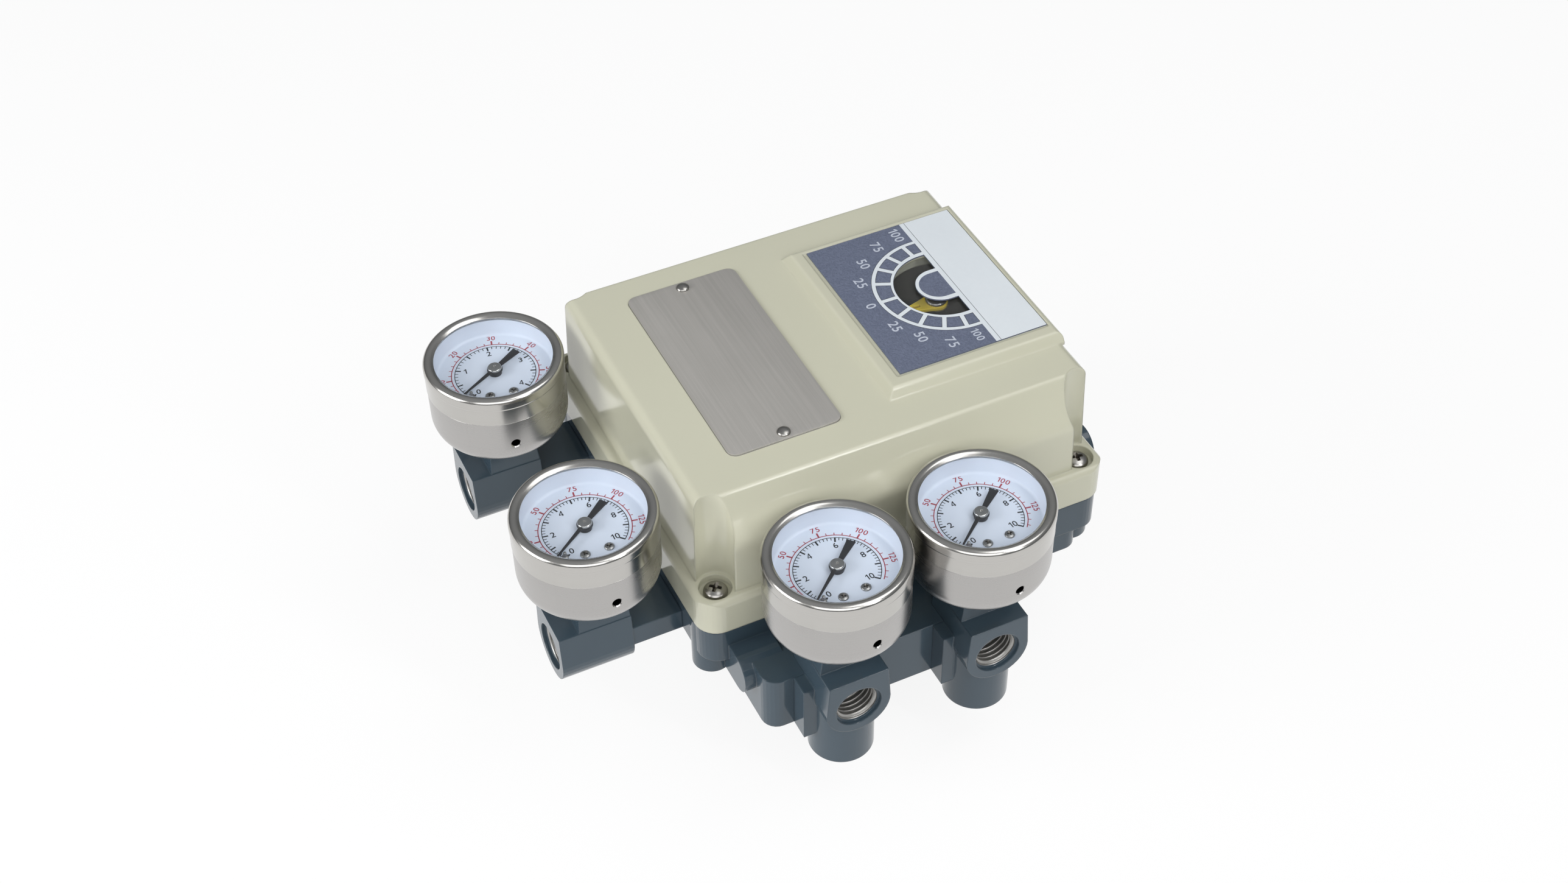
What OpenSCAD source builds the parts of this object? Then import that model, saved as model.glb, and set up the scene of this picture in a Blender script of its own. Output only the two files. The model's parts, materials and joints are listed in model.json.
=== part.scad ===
// Pneumatic rotary valve positioner with four pressure gauges.
// Millimetres, +Z up. The origin is on the main shaft's axis, in the plane of the bottom mounting face.
// The output ports face +X, the supply and signal ports face -Y.

/* [Housing] */
// Width of the cover's flange along X
housing_x = 123; // [118:1:130]
// Length of the cover's flange along Y
housing_y = 136.4; // [132:0.2:142]
// Radius of the flange's vertical corners
corner_r = 7.2; // [6.6:0.1:8]
// Distance from the housing's middle to the shaft axis
shaft_offset = 40.1; // [39:0.1:41]
// Distance from the housing's corners to the cover screws, along X and Y
screw_inset = 7.2; // [7:0.1:8]

/* [Cover] */
// Height of the cover above the gasket
cover_h = 44; // [42:0.5:48]
// Height of the cover's flange
flange_h = 12.3; // [11:0.1:13.5]
// Wall of the cover
cover_wall = 3; // [2.5:0.1:3.4]
// Step from the flange's side to the cover's wall
ledge = 2.9; // [2.5:0.1:3.3]
// Draft of each side wall over its height
draft = 1; // [0.5:0.1:1.5]
// Run of the sloped shoulder along X
shoulder_run = 8.2; // [7:0.1:9]
// Drop of the sloped shoulder
shoulder_drop = 14.5; // [12:0.1:17]
// Radius of the scoop above each cover screw
scoop_r = 6.1; // [5.8:0.1:6.4]
// Height of the raised dial pad
pad_h = 3; // [2.5:0.1:4]
// Half width of the dial pad's top
pad_half_x = 34.6; // [33.5:0.1:36]
// Distance from the shaft axis to the pad's front edge
pad_front = 33.4; // [32.8:0.1:35]

/* [Base] */
// Height of the base from the mounting face to its rim
base_h = 34.6; // [33:0.1:37]
// Height of the base's rim
rim_h = 12.2; // [11:0.1:13]
// Wall of the base casting
base_wall = 3.5; // [3:0.1:4]
// Thickness of the mounting floor
floor_t = 5; // [4.5:0.1:6]
// Thickness of the gasket
gasket_t = 0.8; // [0.6:0.1:1.2]
// Half width of the mounting foot
foot_half_x = 50; // [49:0.5:52]
// Tapping hole radius of the bracket bolts (M8)
bracket_bolt_r = 3.4; // [3.3:0.05:3.5]
// Spacing of the bracket bolts along X
bracket_pitch_x = 82; // [80:1:84]
// Spacing of the bracket bolts along Y
bracket_pitch_y = 96; // [95:1:98]

/* [Ports] */
// Radius of the port threads (G1/4)
port_r = 6.6; // [6.5:0.05:6.7]
// Depth of the port threads
port_depth = 14; // [12:0.5:14.5]
// Radius of the plain mouth of each port
mouth_r = 7.3; // [7.1:0.1:7.6]
// Radius of the round underside of a port block
block_r = 10.3; // [9.8:0.1:10.8]
// Height of the port axes above the mounting face
port_z = 23.8; // [23:0.1:25]
// Reach of a port face from its gauge axis
port_reach = 14.6; // [14.5:0.1:16]
// Gap between the output gauges' cases and the cover's wall
out_gap = 0.5; // [0.4:0.1:2]
// Gap between the bezels of the output gauges
pitch_gap = 2.8; // [2:0.1:5]
// Distance from the shaft axis to the middle of the output gauges
out_mid = 51.8; // [50:0.1:54]
// Gap between the supply and signal gauges' cases and the flange's side
in_gap = 2.4; // [2:0.1:5]
// Distance between the supply and signal gauges
in_pitch = 73.7; // [70:0.1:78]
// Distance of the supply gauge from the housing's middle
sup_x = 34.1; // [32:0.1:36]

/* [Gauges] */
// Radius of the gauge case
case_r = 21.3; // [21:0.1:21.6]
// Height of the gauge's wrench flats above the port block
stem_gap = 4; // [3.5:0.1:6]
// Depth of the gauge, from its bottom to the top of the bezel
gauge_h = 28.2; // [27:0.1:30]
// Height of the drawn case up to the bezel's skirt
case_h = 18.5; // [17:0.1:19.5]
// Radius of the case's lower edge
case_round = 8; // [6:0.1:9]
// Width of the bezel's lip around the glass
lip_w = 3.4; // [3:0.1:3.6]
// Thickness of the gauge glass
glass_t = 1.2; // [1:0.1:1.6]
// Thread radius of the gauge stem (R1/8)
stem_r = 4.86; // [4.8:0.01:4.9]

/* [Shaft and works] */
// Radius of the shaft's free end
shaft_end_r = 5; // [4.8:0.1:5.2]
// Radius of the shaft in its bush
shaft_r = 6; // [5.8:0.1:6.2]
// Length of the shaft's free end below the mounting face
shaft_end = 20; // [16:1:26]
// Outer radius of the shaft bush
bush_r = 9; // [8.8:0.1:9.4]
// Cam radius at the start of the stroke
cam_r0 = 9.5; // [9.3:0.1:10]
// Cam rise over a quarter turn
cam_rise = 5; // [4:0.1:5]
// Radius of the follower roller
roller_r = 3.5; // [3.3:0.1:3.7]
// Arm of the feedback lever from its post to the roller
lever_arm = 40; // [39:0.5:41]
// Radius of the pilot spool
spool_r = 5; // [4.5:0.1:5.5]

/* [Hidden] */
$fn = 64;
eps = 0.01;
run_fit = 0.05;
seat_fit = 0.02;
clear = 0.3;

BEIGE = [0.76, 0.75, 0.68];
SLATE = [0.30, 0.35, 0.38];
STEEL = [0.72, 0.71, 0.70];
BRASS = [0.72, 0.60, 0.33];

// Housing
mid_y = -shaft_offset;
near_x = housing_x / 2;
left_y = mid_y - housing_y / 2;
right_y = mid_y + housing_y / 2;
screw_x = near_x - screw_inset;
screw_dy = housing_y / 2 - screw_inset;
SCREWS = [for (sx = [-1, 1], sy = [-1, 1]) [sx * screw_x, mid_y + sy * screw_dy]];

// Cover heights
cover_z = base_h + gasket_t;
flange_z = cover_z + flange_h;
top_z = cover_z + cover_h;
pad_z = top_z + pad_h;
wall_x = near_x - ledge;
wall_dy = housing_y / 2 - ledge;
crease_x = wall_x - draft / 2 - shoulder_run;
ceiling_z = top_z - cover_wall;
post_r = scoop_r + 2.5;
flange_fillet = 2;
top_fillet = 3;

// Cover screws (M4)
screw_r = 2;
screw_head_r = 3.6;
screw_head_h = 2.7;
counterbore_r = 5;
counterbore_d = 2.4;
screw_grip = 9;
screw_seat_z = flange_z - counterbore_d;

// Dial and name plates
dial_x = 63.3;
dial_y = 50.6;
dial_t = 0.5;
dial_c = [-1.35, -3.5];
dial_gap = [0.7, 1.2];
dial_snug = 0.05;
window_c = [-1, 2.3];
window_r = 14.9;
window_top = 4.2;
tab_c = [-1, 1.6];
tab_r = 7.5;
window_lip_r = window_r + 0.3;
lens_r = window_lip_r + 1.8;
lens_t = 1.5;
lens_lip = 1;
lens_z = pad_z - dial_t - lens_lip - lens_t;
name_x = 78;
name_y = 36.4;
name_t = 0.6;
name_c = [-1.2, mid_y - 29.3];
name_corner = 3;
rivet_dx = 36.3;
rivet_r = 1.25;
rivet_head_r = 2.1;
rivet_l = 2.4;

// Base
rim_inset = 0.6;
rim_z = base_h - rim_h;
body_z = base_h - 20;
body_half_x = near_x - 1.2;
body_y0 = left_y + 15.5;
body_y1 = right_y - 7;
foot_y0 = left_y + 20.5;
foot_y1 = right_y - 8;
pocket_x = wall_x - cover_wall;
pocket_dy = wall_dy - cover_wall;
rim_floor = 3.6;
boss_r = 6;
boss_z = body_z - 0.1;
boss_x = near_x - 10;
boss_dy = housing_y / 2 - 6.2;
bracket_mid_y = (foot_y0 + foot_y1) / 2;
bracket_boss_r = 8;
bracket_boss_z = floor_t + 11;
bracket_depth = bracket_boss_z - 3;
BRACKET = [for (sx = [-1, 1], sy = [-1, 1])
    [sx * bracket_pitch_x / 2, bracket_mid_y + sy * bracket_pitch_y / 2]];
exhaust = [30, base_h - 10.1];
exhaust_r = 7;
exhaust_reach = 12;

// Gauges: name, axis, facing angle of the port, turn of the gauge on its thread
bezel_bead = 0.3;
bezel_r = case_r + bezel_bead;
out_x = wall_x + out_gap + case_r;
out_pitch = 2 * bezel_r + pitch_gap;
in_reach = case_r + in_gap;
in_y = left_y - in_reach;
GAUGES = [
    ["sup", [sup_x, in_y], -90, -1],
    ["sig", [sup_x - in_pitch, in_y], -90, -8],
    ["out1", [out_x, -out_mid + out_pitch / 2], 0, 2],
    ["out2", [out_x, -out_mid - out_pitch / 2], 0, 3.5]];

// Port blocks
block_top = port_z + 11.8;
block_top_half = 9.45;
block_back = 8.2;
collar_top = block_top + 7.4;
collar_half = 7.8;
collar_front = port_reach - 6.3;
neck_half = 9.2;
neck_top = rim_z + 7.2;
out_passage_r = 2.5;
out_passage_dx = 2;
in_passage_r = 1.2;
in_passage_z = rim_z + rim_floor / 2;
out_boss_r = 10;
out_boss_dx = 3.2;
out_boss_z = -2.5;
manifold_z0 = port_z - 16.3;
manifold_z1 = port_z + 3.7;
manifold_left = 22;
web_left = 13.6;
web_reach = 6.1;
manifold_r = 5;
bar_z0 = port_z - 8.4;
bar_z1 = port_z + 4.6;
bar_x = near_x + 10.8;
bar_y0 = left_y + 7.9;
bar_r = 6.4;

// Gauge pieces
case_z = collar_top + stem_gap;
seam_z = case_z + case_h;
lip_z = case_z + gauge_h;
lip_t = 0.4;
lip_fall = 0.5;
lip_round = 1.1;
bead_h = 3.2;
skirt_r = case_r + bezel_bead / 2;
opening_r = bezel_r - lip_w;
case_wall = 0.8;
liner_r = case_r - case_wall;
glass_r = liner_r - 0.9;
rim_in = glass_r - 0.9;
glass_z = lip_z - lip_fall - lip_t - glass_t;
dial_depth = 6;
dial_z = glass_z - dial_depth;
disc_t = 0.6;
cup_in = opening_r - 0.1;
vent_r = 1.35;
vent_z = case_z + 10;
vent_angle = 2;
stem_square = 11;
stem_thread = 9;
stem_clear = 0.3;
arbor_r = 1.2;
bush_wall = 1.8;
needle_rise = 1.7;
needle_z = dial_z + disc_t + needle_rise;
needle_t = 0.4;
needle_l = opening_r - 3.4;
tail_l = opening_r * 0.565;
tail_half = 1.35;
tip_half = 0.35;
hub_r = 2.4;
hub_half = 1;
cap_r = 2.2;
cap_h = 0.7;
zero_angle = -53;
bourdon_r = case_r - 8;
bourdon_z = case_z + 13;
bourdon_half = 1;
bourdon_tall = 2.4;
dial_screw_at = opening_r * 0.571;
dial_screw_r = 0.7;
dial_screw_angle = 20.5;
stop_at = opening_r * 0.676;
stop_r = 0.5;
stop_angle = 5;

// Shaft stack
bush_z = 0.5;
bush_top = base_h - 12.6;
bush_flange_r = 12;
bush_flange_t = 2;
clip_z = bush_top + clear;
clip_t = 1;
clip_groove_r = 4.8;
cam_z = bush_top + 6;
cam_t = 4;
nut_t = 5;
nut_flats = 14;
pointer_t = 1.2;
pointer_screw_h = 1.7;
pointer_z = lens_z - 0.5 - pointer_screw_h - pointer_t;
tap_r = 1.3;
tap_l = 8;
pointer_reach = 13.7;
pointer_slit = 0.45;
pointer_hub_r = 3.8;
pointer_screw_r = 3.4;
shaft_top_r = 4;
shaft_waist_z = pointer_z - 14;
end_thread_r = 2.5;
end_thread_l = 12;
shaft_boss_r = 14;
shaft_boss_z = bush_top - bush_flange_t;

// Cam follower and lever
roller_gap = 0.5;
lever_half = asin(cam_rise / 2 / lever_arm);
lever_x = -(cam_r0 + roller_r + roller_gap) - cam_rise / 2;
lever_y = -lever_arm * cos(lever_half);
lever_z = cam_z + cam_t + 1;
lever_t = 3;
lever_w = 7;
lever_post_r = 3;
lever_foot_r = 6;
follower_pin_r = 2;
spring_arm = [24.5, -10];
spring_r = 2.6;
spring_wire = 0.7;
spring_seat = 8;
spring_cap = 0.8;
spring_gap = 1;

// Balance beam, capsule and pilot valve
beam_y = lever_y + spring_arm.y - 13.9;
beam_z = lever_z;
beam_t = 3;
beam_w = 8;
beam_x0 = -34;
beam_x1 = 33;
beam_pin_x = -2;
beam_pin_r = 1.5;
beam_gap = 0.8;
ear_t = 3;
ear_rise = 4;
capsule_x = -26;
capsule_r = 17;
capsule_h = 18;
capsule_stem_r = 3;
nozzle_x = 26;
nozzle_r = 3;
nozzle_bore = 0.6;
pilot_x0 = 7;
pilot_x1 = 40;
pilot_w = 17;
works_gap = 9;
pilot_top = beam_z - works_gap;
spool_rise = 9;
spool_z = floor_t + spool_rise;
spool_end = 2;
zero_at = [34, -30];
zero_stud_r = 3;
zero_collar_r = 5;
zero_collar_z = beam_z - works_gap;
zero_wheel_r = 9;
zero_wheel_t = 5;

// Points of a polygon with its corners rounded, one radius for each corner
function unit(v) = v / norm(v);
function corner(a, b, c, r, n) = r <= 0 ? [b] :
    let (u = unit(a - b), v = unit(c - b), half = acos(u * v) / 2, o = b + unit(u + v) * r / sin(half),
         p = b + u * r / tan(half) - o, q = b + v * r / tan(half) - o,
         a0 = atan2(p.y, p.x), sweep = (atan2(q.y, q.x) - a0 + 540) % 360 - 180)
    [for (i = [0:n]) o + r * [cos(a0 + sweep * i / n), sin(a0 + sweep * i / n)]];
function rounded(p, r, n = 6) =
    [for (i = [0:len(p) - 1]) each corner(p[(i + len(p) - 1) % len(p)], p[i], p[(i + 1) % len(p)], r[i],
        n)];
function box_points(x0, y0, x1, y1) = [[x0, y0], [x1, y0], [x1, y1], [x0, y1]];
function arc_points(r, a0, a1, n) =
    [for (i = [0:n]) let (a = a0 + (a1 - a0) * i / n) r * [cos(a), sin(a)]];

// An upright prism with rounded vertical edges
module rounded_box(x0, y0, x1, y1, z0, z1, r, n = 8) {
    translate([0, 0, z0])
        linear_extrude(z1 - z0)
            polygon(rounded(box_points(x0, y0, x1, y1), [r, r, r, r], n));
}

// A profile drawn in X and Z, extruded along Y
module along_y(y0, y1) {
    translate([0, y1, 0]) rotate([90, 0, 0]) linear_extrude(y1 - y0) children();
}

// A profile drawn in Y and Z, extruded along X
module along_x(x0, x1) {
    translate([x0, 0, 0]) rotate([90, 0, 90]) linear_extrude(x1 - x0) children();
}

module at_each(places) {
    for (p = places) translate(p) children();
}

module tube(r_out, r_in, z0, z1) {
    translate([0, 0, z0])
        difference() {
            cylinder(r = r_out, h = z1 - z0);
            translate([0, 0, -eps]) cylinder(r = r_in, h = z1 - z0 + 2 * eps);
        }
}

// The solid between the cover's walls, shoulders and top, moved inwards by a wall
module cover_body(wall, z0, z1) {
    foot = wall_x - wall;
    knee = foot - draft / 2;
    top = crease_x - wall * 0.6;
    knee_z = top_z - shoulder_drop - wall * 0.4;
    y0 = mid_y - wall_dy + wall;
    y1 = mid_y + wall_dy - wall;
    intersection() {
        along_y(y0 - 1, y1 + 1)
            polygon(rounded([[-foot, z0], [foot, z0], [knee, knee_z], [top, z1], [-top, z1], [-knee,
                knee_z]],
                [0, 0, 7, 1.6, 1.6, 7]));
        along_x(-near_x, near_x)
            polygon(rounded([[y0, z0], [y1, z0], [y1 - draft, z1], [y0 + draft, z1]],
                [0, 0, top_fillet, top_fillet]));
    }
}

module flange() {
    intersection() {
        rounded_box(-near_x, left_y, near_x, right_y, cover_z, flange_z, corner_r);
        along_y(left_y - 1, right_y + 1)
            polygon(rounded(box_points(-near_x - eps, cover_z, near_x + eps, flange_z),
                [0, 0, flange_fillet, flange_fillet]));
        along_x(-near_x - 1, near_x + 1)
            polygon(rounded(box_points(left_y - eps, cover_z, right_y + eps, flange_z),
                [0, 0, flange_fillet, flange_fillet]));
    }
}

module dial_pad() {
    slope = 2.2;
    y1 = mid_y + wall_dy - draft;
    intersection() {
        along_y(-pad_front - slope - 1, y1)
            polygon(rounded([[-pad_half_x - slope, top_z - 1], [pad_half_x + slope, top_z - 1],
                [pad_half_x + slope, top_z], [pad_half_x, pad_z], [-pad_half_x, pad_z],
                [-pad_half_x - slope, top_z]], [0, 0, 0, 1.4, 1.4, 0]));
        along_x(-near_x, near_x)
            polygon(rounded([[-pad_front - slope, top_z - 1], [y1 + eps, top_z - top_fillet], [y1, pad_z],
                [-pad_front, pad_z], [-pad_front - slope, top_z]], [0, 0, 2, 1.4, 0]));
    }
}

module cover() {
    color(BEIGE)
        difference() {
            union() {
                flange();
                cover_body(0, flange_z - 1, top_z);
                dial_pad();
            }
            difference() {
                cover_body(cover_wall, cover_z - 1, ceiling_z);
                at_each(SCREWS) translate([0, 0, cover_z - 2]) cylinder(r = post_r, h = cover_h);
            }
            at_each(SCREWS) {
                translate([0, 0, flange_z]) cylinder(r = scoop_r, h = cover_h);
                translate([0, 0, screw_seat_z]) cylinder(r = counterbore_r, h = cover_h);
                translate([0, 0, cover_z - 1]) cylinder(r = screw_r + clear, h = cover_h);
            }
            translate([dial_c.x - dial_x / 2 - dial_snug, dial_c.y - dial_y / 2 - dial_gap.y,
                pad_z - dial_t])
                cube([dial_x + dial_gap.x + dial_snug, dial_y + dial_gap.y + dial_snug, 2]);
            translate([window_c.x, window_c.y, ceiling_z - 1]) {
                cylinder(r = lens_r + seat_fit, h = lens_z + lens_t - ceiling_z + 1);
                cylinder(r = window_lip_r, h = 20);
            }
            for (s = [-1, 1])
                translate([name_c.x + s * rivet_dx, name_c.y, top_z - rivet_l - 0.2])
                    cylinder(r = rivet_r + seat_fit, h = 10);
        }
}

module cover_gasket() {
    inset = rim_inset + 0.6;
    color([0.10, 0.10, 0.11])
        difference() {
            rounded_box(-near_x + inset, left_y + inset, near_x - inset, right_y - inset, base_h, cover_z,
                corner_r - inset);
            difference() {
                rounded_box(-pocket_x, mid_y - pocket_dy, pocket_x, mid_y + pocket_dy, base_h - 1,
                    cover_z + 1, 1);
                at_each(SCREWS) translate([0, 0, base_h - 2]) cylinder(r = post_r, h = 5);
            }
            at_each(SCREWS) translate([0, 0, base_h - 1]) cylinder(r = screw_r + clear, h = 5);
        }
}

// A pan-head screw that hangs from its seat at z = 0, with a cross recess
module cross_screw(r, head_r, head_h, length) {
    slot = head_r * 0.3;
    difference() {
        union() {
            rotate_extrude()
                polygon(concat([[0, 0], [head_r, 0]],
                    [for (i = [0:6]) [head_r * cos(i * 15), head_h * (0.35 + 0.65 * sin(i * 15))]]));
            translate([0, 0, -length]) cylinder(r = r, h = length + eps);
        }
        for (a = [0, 90])
            rotate(a) translate([-head_r * 0.62, -slot / 2, head_h * 0.45])
                cube([head_r * 1.24, slot, head_h]);
    }
}

module cover_screws() {
    color(STEEL)
        at_each(SCREWS)
            translate([0, 0, screw_seat_z])
                cross_screw(screw_r, screw_head_r, screw_head_h, screw_seat_z - base_h + screw_grip);
}

module dial_window() {
    color([0.8, 0.85, 0.9, 0.4])
        translate([window_c.x, window_c.y, lens_z]) cylinder(r = lens_r, h = lens_t);
}

// Plate with a half-round window, less the rounded tab over the pointer's hub
module dial_plate() {
    color([0.38, 0.40, 0.50])
        translate([0, 0, pad_z - dial_t])
            linear_extrude(dial_t)
                difference() {
                    translate([dial_c.x - dial_x / 2, dial_c.y - dial_y / 2]) square([dial_x, dial_y]);
                    polygon(concat([[window_c.x - window_r, window_top]],
                        [for (a = [180:6:360]) window_c + window_r * [cos(a), sin(a)]],
                        [[window_c.x + window_r, window_top], [tab_c.x + tab_r, window_top]],
                        [for (a = [360:-9:180]) tab_c + tab_r * [cos(a), sin(a)]],
                        [[tab_c.x - tab_r, window_top]]));
                }
}

module name_plate() {
    color([0.63, 0.62, 0.60])
        difference() {
            rounded_box(name_c.x - name_x / 2, name_c.y - name_y / 2, name_c.x + name_x / 2,
                name_c.y + name_y / 2,
                top_z, top_z + name_t, name_corner);
            for (s = [-1, 1])
                translate([name_c.x + s * rivet_dx, name_c.y, top_z - 1])
                    cylinder(r = rivet_r + seat_fit, h = 5);
        }
}

module name_plate_rivets() {
    color(STEEL)
        for (s = [-1, 1])
            translate([name_c.x + s * rivet_dx, name_c.y, top_z + name_t]) {
                rotate_extrude()
                    polygon(concat([[0, 0]], [for (i = [0:6]) [rivet_head_r * cos(i * 15),
                        1.2 * sin(i * 15)]]));
                translate([0, 0, -rivet_l]) cylinder(r = rivet_r, h = rivet_l + eps);
            }
}

// A port block around the gauge axis, drawn with its port facing +X
module port_block() {
    along_x(-block_back, port_reach)
        polygon(concat([[block_top_half, block_top], [-block_top_half, block_top]],
            [for (p = arc_points(block_r, 180, 360, 20)) p + [0, port_z]]));
    intersection() {
        along_x(-block_back, collar_front)
            polygon([[-block_top_half, block_top - 1], [block_top_half, block_top - 1],
                [collar_half, collar_top], [-collar_half, collar_top]]);
        along_y(-block_r, block_r)
            polygon([[-block_back, block_top - 1], [collar_front, block_top - 1],
                [collar_front - 1, collar_top], [-block_back + 0.6, collar_top]]);
    }
}

// The bores of a port block: port thread with its plain mouth, gauge thread, passage to the inside
module port_bores(inner, passage_r, passage_z) {
    translate([0, 0, port_z]) rotate([0, 90, 0]) {
        translate([0, 0, port_reach - port_depth]) cylinder(r = port_r, h = port_depth + 1);
        translate([0, 0, port_reach - 1.4]) cylinder(r = mouth_r, h = 3);
    }
    translate([-inner, 0, passage_z])
        rotate([0, 90, 0]) cylinder(r = passage_r, h = inner + port_reach - port_depth + 1);
    translate([out_passage_dx, 0, port_z]) cylinder(r = out_passage_r, h = collar_top - port_z - 1);
    translate([0, 0, port_z + port_r + 1.2]) cylinder(r = stem_r, h = collar_top - port_z);
}

// The cast gallery along the output side, with the round end of its drilled passage
module manifold() {
    y0 = GAUGES[3][1].y - manifold_left;
    y1 = GAUGES[2][1].y + block_r + 0.1;
    front = out_x - 0.6;
    back = near_x - 6;
    translate([0, 0, manifold_z0])
        linear_extrude(manifold_z1 - manifold_z0)
            polygon(rounded(box_points(back, y0, front, y1), [0, manifold_r, 1, 0]));
    along_y(bar_y0, y0 + 10)
        polygon(rounded(box_points(back, bar_z0, bar_x, bar_z1), [0, bar_r, bar_r, 0]));
}

module base_outside() {
    rounded_box(-near_x + rim_inset, left_y + rim_inset, near_x - rim_inset, right_y - rim_inset, rim_z,
        base_h,
        corner_r - rim_inset);
    rounded_box(-body_half_x, body_y0, body_half_x, body_y1, body_z, rim_z + 1, 5);
    rounded_box(-foot_half_x, foot_y0, foot_half_x, foot_y1, 0, body_z + 1, 8);
    for (sx = [-1, 1], sy = [-1, 1])
        translate([sx * boss_x, mid_y + sy * boss_dy, boss_z])
            cylinder(r = boss_r, h = base_h - 0.5 - boss_z);
    translate([exhaust.x, right_y - base_wall, exhaust.y])
        rotate([-90, 0, 0]) cylinder(r = exhaust_r, h = exhaust_reach + base_wall);
    manifold();
}

module base_hollow() {
    difference() {
        rounded_box(-pocket_x, mid_y - pocket_dy, pocket_x, mid_y + pocket_dy, rim_z + rim_floor,
            base_h + 1, 1);
        at_each(SCREWS) translate([0, 0, rim_z]) cylinder(r = post_r, h = rim_h + 2);
    }
    rounded_box(-foot_half_x + base_wall, foot_y0 + base_wall, foot_half_x - base_wall, foot_y1 - base_wall,
        floor_t, base_h, 6);
}

module base() {
    color(SLATE)
        difference() {
            union() {
                difference() {
                    base_outside();
                    base_hollow();
                }
                at_each(BRACKET) translate([0, 0, 1]) cylinder(r = bracket_boss_r, h = bracket_boss_z - 1);
                translate([0, 0, 1]) cylinder(r = shaft_boss_r, h = shaft_boss_z - 1);
            }
            at_each(BRACKET) translate([0, 0, -1]) cylinder(r = bracket_bolt_r, h = bracket_depth + 1);
            translate([0, 0, -1]) cylinder(r = bush_r + seat_fit, h = base_h);
            at_each(SCREWS) translate([0, 0, base_h - screw_grip - 1])
                cylinder(r = screw_r + seat_fit, h = screw_grip + 2);
            for (g = GAUGES) bores_at(g);
        }
}

module bores_at(g) {
    translate(g[1])
        rotate(g[2])
            if (g[2] == 0)
                port_bores(out_x - foot_half_x + base_wall + 2, out_passage_r, port_z);
            else
                port_bores(foot_y0 + base_wall + 2 - in_y, in_passage_r, in_passage_z);
}

// One ported block: an output stands on the manifold with a boss and a side web, the others on a flat neck
module port_casting(g) {
    color(SLATE)
        difference() {
            translate(g[1])
                rotate(g[2]) {
                    port_block();
                    if (g[2] == 0) {
                        translate([out_boss_dx, 0, out_boss_z])
                            cylinder(r = out_boss_r, h = port_z - out_boss_z - 4);
                        translate([-1, -web_left, manifold_z0])
                            cube([web_reach + 1, web_left, manifold_z1 - manifold_z0]);
                    } else
                        translate([-in_reach - rim_inset, -neck_half, rim_z])
                            cube([in_reach + rim_inset - block_back + 1, 2 * neck_half, neck_top - rim_z]);
                }
            manifold();
            bores_at(g);
        }
}

module main_shaft() {
    color(STEEL)
        difference() {
            rotate_extrude()
                polygon([[0, -shaft_end], [shaft_end_r - 0.8, -shaft_end], [shaft_end_r, -shaft_end + 0.8],
                    [shaft_end_r, bush_z - 0.2], [shaft_r, bush_z - 0.2], [shaft_r, clip_z],
                    [clip_groove_r, clip_z], [clip_groove_r, clip_z + clip_t], [shaft_r, clip_z + clip_t],
                    [shaft_r, cam_z], [shaft_end_r, cam_z], [shaft_end_r, shaft_waist_z],
                    [shaft_top_r, shaft_waist_z + 2], [shaft_top_r, pointer_z], [0, pointer_z]]);
            translate([0, 0, -shaft_end - 1]) cylinder(r = end_thread_r, h = end_thread_l + 1);
            translate([0, 0, pointer_z - tap_l]) cylinder(r = tap_r, h = tap_l + 1);
        }
}

module shaft_bush() {
    color(BRASS)
        difference() {
            union() {
                translate([0, 0, bush_z]) cylinder(r = bush_r, h = bush_top - bush_z);
                translate([0, 0, shaft_boss_z]) cylinder(r = bush_flange_r, h = bush_flange_t);
            }
            translate([0, 0, -1]) cylinder(r = shaft_r + run_fit, h = bush_top + 2);
        }
}

module shaft_clip() {
    color([0.2, 0.2, 0.22])
        difference() {
            tube(bush_r, clip_groove_r + seat_fit, clip_z, clip_z + clip_t);
            translate([0, -clip_groove_r, clip_z - 1]) cube([bush_r + 1, 2 * clip_groove_r, clip_t + 2]);
        }
}

// Tapered split arrow on a round hub, pointing along -Y at rest
module position_pointer() {
    color([0.80, 0.68, 0.12])
        translate([0, 0, pointer_z])
            difference() {
                linear_extrude(pointer_t)
                    union() {
                        circle(r = pointer_hub_r);
                        difference() {
                            polygon([[-pointer_hub_r, 0], [pointer_hub_r, 0], [0, -pointer_reach]]);
                            translate([-pointer_slit, -2 * pointer_reach])
                                square([2 * pointer_slit, 1.6 * pointer_reach]);
                        }
                    }
                translate([0, 0, -1]) cylinder(r = 1.5, h = pointer_t + 2);
            }
}

module pointer_screw() {
    color(STEEL)
        translate([0, 0, pointer_z + pointer_t])
            cross_screw(tap_r - 0.02, pointer_screw_r, pointer_screw_h, tap_l - 1);
}

// Spiral cam: its radius grows over the quarter turn that passes the roller
function cam_radius(a) = a < 60 ? cam_r0 : cam_r0 + cam_rise * min(max((180 - a) / 90, -0.2), 1.2);

module cam() {
    color(STEEL)
        translate([0, 0, cam_z])
            difference() {
                linear_extrude(cam_t)
                    polygon([for (a = [0:5:355]) cam_radius(a) * [cos(a), sin(a)]]);
                translate([0, 0, -1]) cylinder(r = shaft_end_r + seat_fit, h = cam_t + 2);
            }
}

module cam_nut() {
    color(BRASS)
        translate([0, 0, cam_z + cam_t])
            difference() {
                cylinder(r = nut_flats / 2 / cos(30), h = nut_t, $fn = 6);
                translate([0, 0, -1]) cylinder(r = shaft_end_r + seat_fit, h = nut_t + 2);
            }
}

// Flat bar with round ends between two points, in the plane
module link(a, b, w) {
    d = b - a;
    translate(a) rotate(atan2(d.y, d.x)) translate([0, -w / 2]) square([norm(d), w]);
    for (p = [a, b]) translate(p) circle(r = w / 2 + 1);
}

function follower_at() = [lever_arm * sin(lever_half), lever_arm * cos(lever_half)];

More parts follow.
